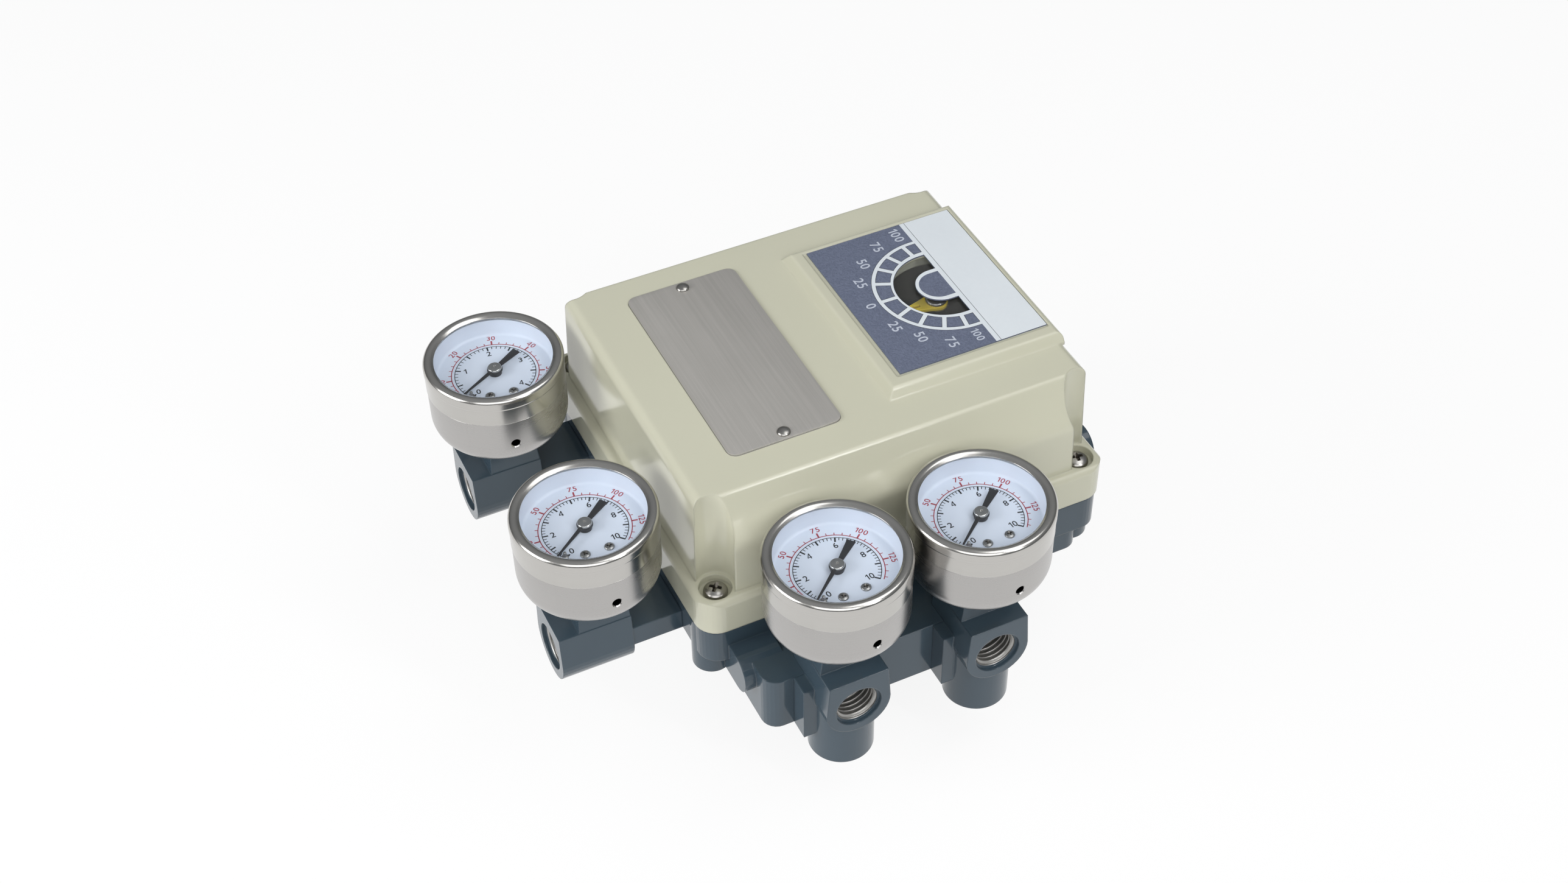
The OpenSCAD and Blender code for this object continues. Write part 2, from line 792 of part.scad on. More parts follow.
module feedback_lever() {
    color(STEEL)
        translate([lever_x, lever_y, lever_z])
            difference() {
                linear_extrude(lever_t)
                    union() {
                        link([0, 0], follower_at(), lever_w);
                        link([0, 0], spring_arm, lever_w - 1);
                        translate([spring_arm.x - spring_seat / 2, spring_arm.y - lever_w / 2 - 1])
                            square([spring_seat, lever_w / 2 + 1]);
                    }
                translate([0, 0, -1]) cylinder(r = lever_post_r + run_fit, h = lever_t + 2);
                translate([follower_at().x, follower_at().y, -1])
                    cylinder(r = follower_pin_r + seat_fit, h = lever_t + 2);
            }
}

module lever_post() {
    color(STEEL)
        translate([lever_x, lever_y, 0]) {
            translate([0, 0, floor_t]) cylinder(r = lever_foot_r, h = lever_z - clear - floor_t);
            translate([0, 0, floor_t + 1])
                cylinder(r = lever_post_r, h = lever_z + lever_t + 2 - floor_t - 1);
        }
}

module lever_clip() {
    z = lever_z + lever_t + clear;
    color([0.2, 0.2, 0.22])
        translate([lever_x, lever_y, 0]) tube(lever_foot_r, lever_post_r + seat_fit, z, z + 1);
}

module follower_pin() {
    color(STEEL)
        translate([lever_x + follower_at().x, lever_y + follower_at().y, 0]) {
            translate([0, 0, cam_z - clear])
                cylinder(r = follower_pin_r, h = lever_z + lever_t - cam_z + clear);
            translate([0, 0, cam_z - clear - 1]) cylinder(r = follower_pin_r + 0.8, h = 1 + eps);
        }
}

module follower_roller() {
    color(BRASS)
        translate([lever_x + follower_at().x, lever_y + follower_at().y, 0])
            tube(roller_r, follower_pin_r + run_fit, cam_z, cam_z + cam_t);
}

// Close-wound coils about Z, drawn as rings that touch
module coil(r, wire, length, turns) {
    pitch = length / turns;
    bulge = pitch / 2 / sin(75);
    ring = [for (a = [-75, -40, 0, 40, 75]) [wire * cos(a), pitch / 2 + bulge * sin(a)]];
    outside = [for (i = [0:turns - 1], p = ring) [r + p.x, i * pitch + p.y]];
    inside = [for (i = [0:turns - 1], p = ring) [r - p.x, i * pitch + p.y]];
    n = len(inside) - 1;
    rotate_extrude($fn = 32)
        polygon(concat(outside, [for (k = [n:-1:0]) inside[k]]));
}

// Coil between two end caps; the near cap stands on the lever's seat
module feedback_spring() {
    start = lever_y + spring_arm.y - lever_w / 2 - 1;
    length = start - (beam_y + beam_w / 2) - spring_gap;
    cap_r = spring_r + spring_wire;
    color(STEEL)
        translate([lever_x + spring_arm.x, start, lever_z + lever_t / 2])
            rotate([90, 0, 0]) {
                cylinder(r = cap_r, h = spring_cap);
                translate([0, 0, spring_cap - eps])
                    coil(spring_r, spring_wire, length - 2 * spring_cap + 2 * eps, 3);
                translate([0, 0, length - spring_cap]) cylinder(r = cap_r, h = spring_cap);
            }
}

module balance_beam() {
    color(STEEL)
        difference() {
            union() {
                translate([beam_x0, beam_y - beam_w / 2, beam_z]) cube([beam_x1 - beam_x0, beam_w, beam_t]);
                translate([beam_pin_x, beam_y + beam_w / 2, beam_z + beam_t / 2])
                    rotate([90, 0, 0]) cylinder(r = beam_pin_r + 2, h = beam_w);
            }
            translate([beam_pin_x, beam_y + beam_w, beam_z + beam_t / 2])
                rotate([90, 0, 0]) cylinder(r = beam_pin_r + run_fit, h = 2 * beam_w);
        }
}

module beam_bracket() {
    half = beam_w / 2 + clear;
    top = beam_z + beam_t / 2 + ear_rise;
    color(STEEL)
        difference() {
            union() {
                translate([beam_pin_x - 4, beam_y - half - ear_t, floor_t])
                    cube([8, 2 * (half + ear_t), ear_t]);
                for (s = [-1, 1])
                    translate([beam_pin_x - 4, beam_y + s * (half + ear_t / 2) - ear_t / 2, floor_t])
                        cube([8, ear_t, top - floor_t]);
            }
            translate([beam_pin_x, beam_y + 20, beam_z + beam_t / 2])
                rotate([90, 0, 0]) cylinder(r = beam_pin_r + seat_fit, h = 40);
        }
}

module beam_pin() {
    half = beam_w / 2 + clear + ear_t;
    color(STEEL)
        translate([beam_pin_x, beam_y + half, beam_z + beam_t / 2])
            rotate([90, 0, 0]) cylinder(r = beam_pin_r, h = 2 * half);
}

module signal_capsule() {
    color([0.75, 0.76, 0.78])
        translate([capsule_x, beam_y, floor_t]) {
            rotate_extrude()
                polygon([[0, 0], [capsule_r - 3, 0], [capsule_r - 3, capsule_h - 6], [capsule_r,
                    capsule_h - 6],
                    [capsule_r, capsule_h - 3], [capsule_r - 5, capsule_h], [capsule_stem_r, capsule_h],
                    [capsule_stem_r, beam_z - beam_gap - floor_t], [0, beam_z - beam_gap - floor_t]]);
        }
}

module nozzle() {
    color(BRASS)
        translate([nozzle_x, beam_y, 0])
            difference() {
                rotate_extrude()
                    polygon([[0, pilot_top], [nozzle_r + 1, pilot_top], [nozzle_r + 1, pilot_top + 3],
                        [nozzle_r, pilot_top + 3], [nozzle_r, beam_z - beam_gap - 2],
                        [nozzle_bore + 0.6, beam_z - beam_gap], [0, beam_z - beam_gap]]);
                translate([0, 0, pilot_top - 1]) cylinder(r = nozzle_bore, h = beam_z);
            }
}

module pilot_block() {
    color([0.70, 0.71, 0.73])
        difference() {
            rounded_box(pilot_x0, beam_y - pilot_w / 2, pilot_x1, beam_y + pilot_w / 2, floor_t,
                pilot_top, 2);
            translate([pilot_x0 - 1, beam_y, spool_z])
                rotate([0, 90, 0]) cylinder(r = spool_r + run_fit, h = pilot_x1 - pilot_x0 + 2);
        }
}

module pilot_spool() {
    length = pilot_x1 - pilot_x0 - 2 * spool_end;
    land = length / 5;
    waist = spool_r - 1.5;
    color(STEEL)
        translate([pilot_x0 + spool_end, beam_y, spool_z])
            rotate([0, 90, 0])
                rotate_extrude()
                    polygon(concat([[0, 0]],
                        [for (i = [0:4]) each let (r = i % 2 == 0 ? spool_r : waist) [[r, i * land], [r,
                            (i + 1) * land]]],
                        [[0, length]]));
}

module zero_post() {
    color(STEEL)
        translate([zero_at.x, zero_at.y, 0]) {
            translate([0, 0, floor_t]) cylinder(r = zero_collar_r, h = zero_collar_z - floor_t);
            translate([0, 0, floor_t + 1])
                cylinder(r = zero_stud_r, h = zero_collar_z + zero_wheel_t + 4 - floor_t);
        }
}

module zero_wheel() {
    teeth = 24;
    color([0.15, 0.15, 0.16])
        translate([zero_at.x, zero_at.y, zero_collar_z + clear])
            difference() {
                linear_extrude(zero_wheel_t)
                    polygon([for (i = [0:2 * teeth - 1])
                        (zero_wheel_r - (i % 2) * 0.8) * [cos(i * 180 / teeth), sin(i * 180 / teeth)]]);
                translate([0, 0, -1]) cylinder(r = zero_stud_r + run_fit, h = zero_wheel_t + 2);
            }
}

module on_gauge(g) {
    translate(g[1]) rotate(g[3]) children();
}

// Drawn cup with a rounded lower edge; its rim stands inside the bezel's skirt and carries the dial
module gauge_case(g) {
    color(STEEL)
        on_gauge(g)
            difference() {
                rotate_extrude()
                    polygon(concat(
                        rounded([[stem_r + stem_clear, case_z], [case_r, case_z], [case_r, seam_z]],
                            [0, case_round, 0], 8),
                        [[liner_r, seam_z], [liner_r, dial_z], [rim_in, dial_z], [rim_in,
                            seam_z - case_wall]],
                        rounded([[liner_r, seam_z - 2 * case_wall], [liner_r, case_z + case_wall],
                            [stem_r + stem_clear, case_z + case_wall]], [0, case_round - case_wall, 0],
                                8)));
                rotate(vent_angle)
                    translate([liner_r - 3, 0, vent_z]) rotate([0, 90, 0]) cylinder(r = vent_r, h = 10);
            }
}

// Threaded stem with wrench flats, the socket inside the case and the arbor's bush
module gauge_stem(g) {
    bar = 2 * bourdon_tall;
    color(BRASS)
        on_gauge(g)
            difference() {
                union() {
                    translate([0, 0, collar_top - stem_thread])
                        cylinder(r = stem_r - seat_fit, h = stem_thread + eps);
                    translate([-stem_square / 2, -stem_square / 2, collar_top])
                        cube([stem_square, stem_square, case_z - collar_top]);
                    translate([0, 0, case_z - eps])
                        cylinder(r = stem_r, h = bourdon_z - case_z + bourdon_tall);
                    translate([0, -bar, bourdon_z - bar])
                        cube([bourdon_r + 2 * bourdon_half, bar, bar + bourdon_tall]);
                    translate([0, 0, bourdon_z]) cylinder(r = arbor_r + bush_wall, h = dial_z - bourdon_z);
                }
                translate([0, 0, collar_top - stem_thread - 1]) cylinder(r = 1.5, h = stem_thread + 5);
                translate([0, 0, dial_z - 8]) cylinder(r = arbor_r + run_fit, h = 9);
            }
}

// Spun ring: skirt, beaded rim and the lip that falls inwards over the glass
module gauge_bezel(g) {
    under = lip_z - lip_fall - lip_t;
    color(STEEL)
        on_gauge(g)
            rotate_extrude()
                polygon(rounded([[liner_r + seat_fit, seam_z], [skirt_r, seam_z], [skirt_r,
                    lip_z - bead_h - bezel_bead],
                    [bezel_r, lip_z - bead_h], [bezel_r, lip_z - 2 * lip_round], [bezel_r - lip_round,
                        lip_z],
                    [opening_r, lip_z - lip_fall], [opening_r, under], [liner_r + seat_fit, under]],
                    [0, 0, lip_t, lip_t, lip_round, lip_round * 0.7, lip_t / 2, 0, 0]));
}

module gauge_glass(g) {
    color([0.85, 0.9, 0.95, 0.35])
        on_gauge(g) translate([0, 0, glass_z]) cylinder(r = glass_r, h = glass_t);
}

// Pressed dial: a flat disc with a raised, sloped rim that the glass sits on
module gauge_dial(g) {
    face = dial_z + disc_t;
    color([0.84, 0.87, 0.91])
        on_gauge(g)
            difference() {
                rotate_extrude()
                    polygon(concat([[0, dial_z], [glass_r, dial_z], [glass_r, glass_z], [cup_in + 0.7,
                        glass_z]],
                        rounded([[cup_in + 0.7, glass_z - 0.1], [cup_in, face], [0, face]], [0, 0.8, 0])));
                translate([0, 0, dial_z - 1]) cylinder(r = arbor_r + clear, h = 3);
                for (s = [-1, 1])
                    rotate(dial_screw_angle * s)
                        translate([dial_screw_at, 0, dial_z - 1])
                            cylinder(r = dial_screw_r + seat_fit, h = 3);
            }
}

// Needle with a flared tail, its hub and cap, and the arbor that turns in the stem's bush
module gauge_pointer(g) {
    color([0.05, 0.05, 0.06])
        on_gauge(g)
            rotate(zero_angle) {
                translate([0, 0, needle_z])
                    linear_extrude(needle_t)
                        polygon([[needle_l, tip_half], [hub_r, hub_half], [-hub_r, hub_half],
                            [-tail_l, tail_half], [-tail_l, -tail_half], [-hub_r, -hub_half],
                            [hub_r, -hub_half], [needle_l, -tip_half]]);
                translate([0, 0, needle_z - needle_t]) cylinder(r = hub_r, h = 2 * needle_t + eps);
                translate([0, 0, dial_z + disc_t + clear])
                    cylinder(r = cap_r - clear, h = needle_rise - clear);
                translate([0, 0, needle_z + needle_t])
                    rotate_extrude()
                        polygon(concat([[0, 0]], rounded([[cap_r, 0], [cap_r, cap_h], [0, cap_h]], [0,
                            cap_h * 0.6, 0])));
                translate([0, 0, dial_z - 7]) cylinder(r = arbor_r, h = needle_z - dial_z + 7);
            }
}

// Two cross-head screws and the stop pin on each dial
module dial_fittings() {
    face = dial_z + disc_t;
    color(STEEL)
        for (g = GAUGES)
            on_gauge(g) {
                for (s = [-1, 1])
                    rotate(dial_screw_angle * s)
                        translate([dial_screw_at, 0, face]) cross_screw(dial_screw_r, 1.5, 0.7, disc_t);
                rotate(zero_angle + stop_angle)
                    translate([stop_at, 0, face]) {
                        cylinder(r = 2 * stop_r, h = stop_r);
                        cylinder(r = stop_r, h = needle_z - face + needle_t);
                    }
            }
}

// Flattened tube bent to a C, from the socket around to its free tip
module bourdon_tubes() {
    edge = bourdon_half * 0.9;
    color(BRASS)
        for (g = GAUGES)
            on_gauge(g)
                translate([0, 0, bourdon_z])
                    rotate_extrude(angle = 250)
                        translate([bourdon_r, 0])
                            polygon(rounded(box_points(-bourdon_half, -bourdon_tall, bourdon_half,
                                bourdon_tall),
                                [edge, edge, edge, edge], 3));
}

base();
cover();
cover_gasket();
cover_screws();
dial_window();
dial_plate();
name_plate();
name_plate_rivets();
main_shaft();
shaft_bush();
shaft_clip();
position_pointer();
pointer_screw();
cam();
cam_nut();
feedback_lever();
lever_post();
lever_clip();
follower_pin();
follower_roller();
feedback_spring();
balance_beam();
beam_bracket();
beam_pin();
signal_capsule();
nozzle();
pilot_block();
pilot_spool();
zero_post();
zero_wheel();
dial_fittings();
bourdon_tubes();
for (g = GAUGES) {
    gauge_case(g);
    gauge_stem(g);
    gauge_bezel(g);
    gauge_glass(g);
    gauge_dial(g);
    gauge_pointer(g);
    port_casting(g);
}
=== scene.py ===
import json
from math import acos, atan2, cos, degrees, pi, radians, sin, tan

import bmesh
import bpy
from mathutils import Matrix, Vector


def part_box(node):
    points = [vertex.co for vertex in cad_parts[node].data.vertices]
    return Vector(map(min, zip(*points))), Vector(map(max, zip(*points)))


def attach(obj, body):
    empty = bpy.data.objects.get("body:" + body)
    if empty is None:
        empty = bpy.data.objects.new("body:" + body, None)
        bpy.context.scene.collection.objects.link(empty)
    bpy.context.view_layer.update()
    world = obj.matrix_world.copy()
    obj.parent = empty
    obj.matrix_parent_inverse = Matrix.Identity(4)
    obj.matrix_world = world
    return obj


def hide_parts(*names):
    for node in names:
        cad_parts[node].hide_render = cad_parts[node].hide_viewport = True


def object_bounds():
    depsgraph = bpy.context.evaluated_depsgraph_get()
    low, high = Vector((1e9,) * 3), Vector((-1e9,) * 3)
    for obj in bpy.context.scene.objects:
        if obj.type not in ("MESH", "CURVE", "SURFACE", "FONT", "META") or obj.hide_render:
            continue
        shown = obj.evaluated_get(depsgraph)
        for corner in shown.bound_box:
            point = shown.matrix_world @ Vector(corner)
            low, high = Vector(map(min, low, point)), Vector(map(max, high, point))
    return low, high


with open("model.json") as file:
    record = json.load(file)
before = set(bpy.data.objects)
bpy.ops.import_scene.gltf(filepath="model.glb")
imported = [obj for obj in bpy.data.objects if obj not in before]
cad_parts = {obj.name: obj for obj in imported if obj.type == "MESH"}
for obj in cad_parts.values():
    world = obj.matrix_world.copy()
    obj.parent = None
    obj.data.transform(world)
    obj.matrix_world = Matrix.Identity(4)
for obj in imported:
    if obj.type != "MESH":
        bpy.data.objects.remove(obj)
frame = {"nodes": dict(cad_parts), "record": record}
cad_box = [list(corner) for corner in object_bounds()]
scene = bpy.context.scene
MM = 0.001


# Sizes and places from the frame, in millimetres

def plan_of(node):
    """The least and greatest x and y of a CAD node."""
    return [round(corner[i] / MM, 3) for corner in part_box(node) for i in (0, 1)]


def heights_of(node):
    """The lowest and highest point of a CAD node."""
    return [round(corner[2] / MM, 3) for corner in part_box(node)]


# Finishes

def srgb(*rgb):
    """A colour written from 0 to 255, in the linear values that a shader takes."""
    return tuple(c / 255 / 12.92 if c <= 10 else ((c / 255 + 0.055) / 1.055) ** 2.4 for c in rgb) + (1.0,)


class Value:
    """A socket of a finish that takes part in sums."""

    def __init__(self, finish, socket):
        self.finish, self.socket = finish, socket

    def math(self, operation, other, clamp=False):
        return self.finish.add("Math", {"operation": operation, "use_clamp": clamp}, {0: self, 1: other})

    def __add__(self, other):
        return self.math("ADD", other)

    def __sub__(self, other):
        return self.math("SUBTRACT", other)

    def __rsub__(self, other):
        return self.finish.add("Math", {"operation": "SUBTRACT"}, {0: other, 1: self})

    def __mul__(self, other):
        return self.math("MULTIPLY", other)

    __radd__ = __add__
    __rmul__ = __mul__


class Finish:
    """A material, or the world, and the nodes that make it."""

    def __init__(self, name, makes=bpy.data.materials):
        self.material = makes.new(name)
        self.material.use_nodes = True
        self.tree = self.material.node_tree
        self.tree.nodes.clear()

    def add(self, kind, settings=None, inputs=None, out=0):
        """Any node: its type, its settings, the values or links of its sockets."""
        node = self.tree.nodes.new("ShaderNode" + kind)
        for key, value in (settings or {}).items():
            setattr(node, key, value)
        for key, value in (inputs or {}).items():
            if isinstance(value, Value):
                self.tree.links.new(value.socket, node.inputs[key])
            else:
                node.inputs[key].default_value = value
        return Value(self, node.outputs[out]) if node.outputs else None

    def place(self):
        return self.add("TexCoord", out="Object")

    def stretch(self, vector, x, y, z):
        return self.add("VectorMath", {"operation": "MULTIPLY"}, {0: vector, 1: (x, y, z)})

    def noise(self, vector, scale, detail=3.0, rough=0.5):
        return self.add("TexNoise", {}, {"Vector": vector, "Scale": scale, "Detail": detail,
                                         "Roughness": rough})

    def mix(self, share, a, b):
        return self.add("Mix", {"data_type": "RGBA"}, {0: share, 6: a, 7: b}, out=2)

    def bump(self, height, distance, strength, **normal):
        return self.add("Bump", {}, {"Height": height, "Distance": distance, "Strength": strength,
                                     **normal})

    def soft_edges(self, radius):
        return self.add("Bevel", {"samples": 6}, {"Radius": radius})

    def close(self, **sockets):
        """Ends the finish in one Principled shader."""
        shader = self.add("BsdfPrincipled", {}, {k.replace("_", " "): v for k, v in sockets.items()})
        self.add("OutputMaterial", {}, {"Surface": shader})
        return self.material


def painted_casting(name, colour, shade, edge):
    """Gloss paint on a casting: slow colour drift, a fine orange peel, rounded edges."""
    f = Finish(name)
    at = f.place()
    drift = f.noise(at, 18, 4)
    peel = f.noise(at, 700, 2)
    wave = f.noise(at, 110, 2)
    skin = f.bump(peel * 0.3 + wave * 0.7, 0.000015, 0.5, Normal=f.soft_edges(edge))
    return f.close(Base_Color=f.mix(drift, shade, colour), Roughness=drift * 0.05 + peel * 0.03 + 0.09,
                   Normal=skin)


def spun_steel(name, colour, dark, roughness, spread):
    """Metal turned about Z: rings of fine grooves in height and radius."""
    f = Finish(name)
    at = f.place()
    radius = f.add("VectorMath", {"operation": "LENGTH"}, {0: f.stretch(at, 1, 1, 0)}, out="Value")
    height = f.add("SeparateXYZ", {}, {0: at}, out="Z")
    ring = f.add("CombineXYZ", {}, {0: radius * 5200, 1: height * 2600, 2: 0.0})
    grain = f.noise(ring, 1, 4, 0.6)
    cloud = f.noise(at, 90, 3)
    return f.close(Base_Color=f.mix(grain * 0.5 + cloud * 0.5, dark, colour), Metallic=1.0,
                   Roughness=grain * spread + cloud * 0.08 + (roughness - 0.04),
                   Normal=f.bump(grain, 0.000001, 0.35))


def brushed_sheet(name, colour, dark, roughness):
    """Sheet metal brushed along X: fine lines over broad, faint streaks."""
    f = Finish(name)
    at = f.place()
    fine = f.noise(f.stretch(at, 40, 5200, 40), 1, 4, 0.65)
    streak = f.noise(f.stretch(at, 16, 900, 40), 1, 3)
    cloud = f.noise(at, 45, 3)
    shade = f.mix(fine * 0.4 + streak * 0.4 + cloud * 0.2, dark, colour)
    return f.close(Base_Color=shade, Metallic=0.4, Roughness=fine * 0.22 + (roughness - 0.1),
                   Normal=f.bump(fine, 0.00002, 0.5))


def machined(name, colour, dark, roughness, scale=500.0):
    """Plain worked metal with faint tool marks and stains."""
    f = Finish(name)
    at = f.place()
    marks = f.noise(f.stretch(at, 1, 1, 6), scale, 4, 0.6)
    stain = f.noise(at, 120, 3)
    return f.close(Base_Color=f.mix(marks * 0.5 + stain * 0.5, dark, colour), Metallic=1.0,
                   Roughness=marks * 0.16 + stain * 0.08 + (roughness - 0.12),
                   Normal=f.bump(marks, 0.00003, 0.4))


def matt_coat(name, colour, dark, roughness, scale=700.0, grain=0.00003):
    """Print, plastic or rubber: an even coat with a fine tooth."""
    f = Finish(name)
    at = f.place()
    tooth = f.noise(at, scale, 3)
    drift = f.noise(at, 60, 2)
    return f.close(Base_Color=f.mix(tooth * 0.4 + drift * 0.6, dark, colour),
                   Roughness=tooth * 0.12 + (roughness - 0.06), Normal=f.bump(tooth, grain, 0.5))


def embossed_film(name, colour, dark):
    """The dial's printed film, with a pebbled tooth."""
    f = Finish(name)
    at = f.place()
    pebble = f.noise(at, 1500, 2, 0.6)
    fleck = f.noise(at, 3400, 1)
    return f.close(Base_Color=f.mix(pebble * 0.75 + fleck * 0.25, dark, colour),
                   Roughness=pebble * 0.2 + 0.30, Normal=f.bump(pebble, 0.0004, 0.7))


def clear_pane(name, tint, painted_reflection):
    """Thin clear sheet: seen through a faint lit white veil, which is a painted reflection, with its gloss
    on the front.
    """
    f = Finish(name)
    smear = f.noise(f.place(), 160, 2)
    gloss = f.add("BsdfPrincipled", {}, {"Base Color": (1, 1, 1, 1), "Metallic": 1.0,
                                         "Roughness": smear * 0.03 + 0.02})
    through = f.add("BsdfTransparent", {}, {"Color": tint})
    film = f.add("BsdfDiffuse", {}, {"Color": (0.9, 0.9, 0.88, 1)})
    front = 1 - f.add("NewGeometry", out="Backfacing")
    # The white diffuse veil on the front is a painted reflection that greys what lies behind the pane.
    body = f.add("MixShader", {}, {0: (smear * 0.4 + 0.8) * front * painted_reflection, 1: through, 2: film})
    share = f.add("Fresnel", {}, {"IOR": 1.45}) * 0.7 * front
    f.add("OutputMaterial", {}, {"Surface": f.add("MixShader", {}, {0: share, 1: body, 2: gloss})})
    return f.material


COVER_PAINT = painted_casting("cover_beige_paint", srgb(197, 196, 177), srgb(191, 190, 170), 0.0008)
BASE_PAINT = painted_casting("base_slate_paint", srgb(62, 77, 88), srgb(54, 68, 78), 0.0006)
CASE_STEEL = spun_steel("gauge_case_steel", srgb(186, 184, 182), srgb(174, 172, 170), 0.24, 0.08)
BEZEL_STEEL = spun_steel("bezel_polished_steel", srgb(200, 198, 194), srgb(184, 182, 178), 0.17, 0.06)
PLATE_STEEL = brushed_sheet("name_plate_brushed", srgb(202, 199, 194), srgb(150, 147, 142), 0.36)
# Dark olive matt coat for the slab under the name plate: painted shadow along the plate's edge.
PLATE_EDGE_SHADOW = matt_coat("name_plate_painted_shadow", srgb(92, 90, 76), srgb(74, 72, 60), 0.60)
SCREW_STEEL = machined("screw_steel", srgb(190, 188, 184), srgb(138, 136, 132), 0.30)
# Darker metal for the faces inside the cross recesses: painted shade in the hollow.
RECESS_PAINTED_SHADE = machined("screw_recess_painted_shade", srgb(138, 134, 126), srgb(92, 88, 82), 0.38)
SHAFT_STEEL = machined("shaft_steel", srgb(186, 184, 180), srgb(150, 148, 145), 0.28)
DARK_STEEL = machined("blackened_steel", srgb(74, 74, 78), srgb(50, 50, 54), 0.40)
BARE_ALUMINIUM = machined("thread_bare_aluminium", srgb(206, 205, 202), srgb(136, 134, 130), 0.46, 900.0)
WORKS_ALUMINIUM = machined("works_aluminium", srgb(190, 192, 196), srgb(164, 166, 170), 0.36)
BRASS = machined("brass", srgb(196, 168, 100), srgb(160, 132, 74), 0.30)
GASKET = matt_coat("gasket_rubber", srgb(40, 40, 42), srgb(28, 28, 30), 0.70)
DIAL_WHITE = matt_coat("gauge_dial_white", srgb(222, 228, 238), srgb(214, 221, 232), 0.42)
INK_BLACK = matt_coat("scale_black_ink", srgb(48, 49, 53), srgb(36, 37, 40), 0.50)
INK_RED = matt_coat("scale_red_ink", srgb(176, 66, 78), srgb(160, 56, 68), 0.50)
NEEDLE_BLACK = matt_coat("needle_black", srgb(46, 45, 46), srgb(39, 38, 39), 0.42, 900.0, 0.000004)
FILM_BLUE = embossed_film("dial_film_blue", srgb(122, 130, 150), srgb(68, 75, 97))
PRINT_WHITE = matt_coat("dial_print_white", srgb(220, 226, 230), srgb(210, 216, 221), 0.34)
PRINT_GREY = matt_coat("dial_print_figures", srgb(196, 202, 214), srgb(176, 182, 196), 0.45)
PRINT_LINE = matt_coat("dial_print_lines", srgb(58, 61, 70), srgb(46, 49, 58), 0.45)
POINTER_YELLOW = matt_coat("position_pointer_yellow", srgb(250, 220, 52), srgb(236, 204, 42), 0.42)
BLACK_PLASTIC = matt_coat("black_plastic", srgb(44, 44, 46), srgb(32, 32, 34), 0.50)
GAUGE_GLASS = clear_pane("gauge_glass", (0.97, 0.98, 0.99, 1), 0.0)
# The lens's veil share is painted reflection, lightening the dark housing seen through it.
LENS_CLEAR = clear_pane("dial_lens", (0.96, 0.97, 0.98, 1), 0.04)

BY_SLOT = {"cover_paint": COVER_PAINT, "base_paint": BASE_PAINT, "gasket": GASKET, "steel": SHAFT_STEEL,
           "dark_steel": DARK_STEEL, "bezel_steel": CASE_STEEL, "plate_metal": PLATE_STEEL, "brass": BRASS,
           "aluminium": WORKS_ALUMINIUM, "clear_lens": LENS_CLEAR, "gauge_glass": GAUGE_GLASS,
           "dial_print": FILM_BLUE, "dial_white": DIAL_WHITE, "yellow_plastic": POINTER_YELLOW,
           "black_plastic": BLACK_PLASTIC, "pointer_black": NEEDLE_BLACK}


# Shapes: points in millimetres and the faces between them

def rounded(corners, steps=8):
    """A closed outline from corners, each given as x, y and the radius that rounds it."""
    out = []
    for i, (x, y, r) in enumerate(corners):
        if r <= 0:
            out.append((x, y))
            continue
        b, a, c = Vector((x, y)), Vector(corners[i - 1][:2]), Vector(corners[(i + 1) % len(corners)][:2])
        u, v = (a - b).normalized(), (c - b).normalized()
        half = acos(max(-1, min(1, u.dot(v)))) / 2
        centre = b + (u + v).normalized() * r / sin(half)
        p, q = b + u * r / tan(half), b + v * r / tan(half)
        a0, a1 = (atan2(*(e - centre).yx) for e in (p, q))
        turn = (a1 - a0 + pi) % (2 * pi) - pi
        out += [tuple(centre + r * Vector((cos(a0 + turn * k / steps), sin(a0 + turn * k / steps))))
                for k in range(steps + 1)]
    return out


def rectangle(box, grow=0.0, corner=0.0):
    """The outline of a box, grown on all sides, with rounded corners."""
    x0, y0, x1, y1 = box[0] - grow, box[1] - grow, box[2] + grow, box[3] + grow
    return rounded([(x0, y0, corner), (x1, y0, corner), (x1, y1, corner), (x0, y1, corner)])


def lathe(profile, segments, closed=True):
    """Turns (radius, height) points about Z."""
    verts, rows, faces = [], [], []
    for r, z in profile:
        if r < 1e-6:
            rows.append([len(verts)] * segments)
            verts.append((0, 0, z))
        else:
            rows.append(list(range(len(verts), len(verts) + segments)))
            steps = [2 * pi * k / segments for k in range(segments)]
            verts += [(r * cos(t), r * sin(t), z) for t in steps]
    pairs = list(zip(rows, rows[1:])) + ([(rows[-1], rows[0])] if closed else [])
    for low, high in pairs:
        for k in range(segments):
            n = (k + 1) % segments
            corners = list(dict.fromkeys((low[k], low[n], high[n], high[k])))
            if len(corners) > 2:
                faces.append(corners)
    return verts, faces


def slab(outline, z0, z1):
    """An outline given thickness."""
    n = len(outline)
    verts = [(x, y, z0) for x, y in outline] + [(x, y, z1) for x, y in outline]
    faces = [list(range(n))[::-1], list(range(n, 2 * n))]
    return verts, faces + [[k, (k + 1) % n, n + (k + 1) % n, n + k] for k in range(n)]


def moved(shape, x=0.0, y=0.0, z=0.0, turn=0.0):
    c, s = cos(radians(turn)), sin(radians(turn))
    return [(x + c * px - s * py, y + s * px + c * py, z + pz) for px, py, pz in shape[0]], shape[1]


def joined(*shapes):
    verts, faces = [], []
    for v, f in shapes:
        faces += [[k + len(verts) for k in face] for face in f]
        verts += v
    return verts, faces


def arc(r, a0, a1, steps, centre=(0, 0)):
    turns = [radians(a0 + (a1 - a0) * k / steps) for k in range(steps + 1)]
    return [(centre[0] + r * cos(t), centre[1] + r * sin(t)) for t in turns]


def on_circle(r, angle):
    return r * cos(radians(angle)), r * sin(radians(angle))


def flat(outline, z=0.0):
    """A printed patch: one flat face."""
    return [(x, y, z) for x, y in outline], [list(range(len(outline)))]


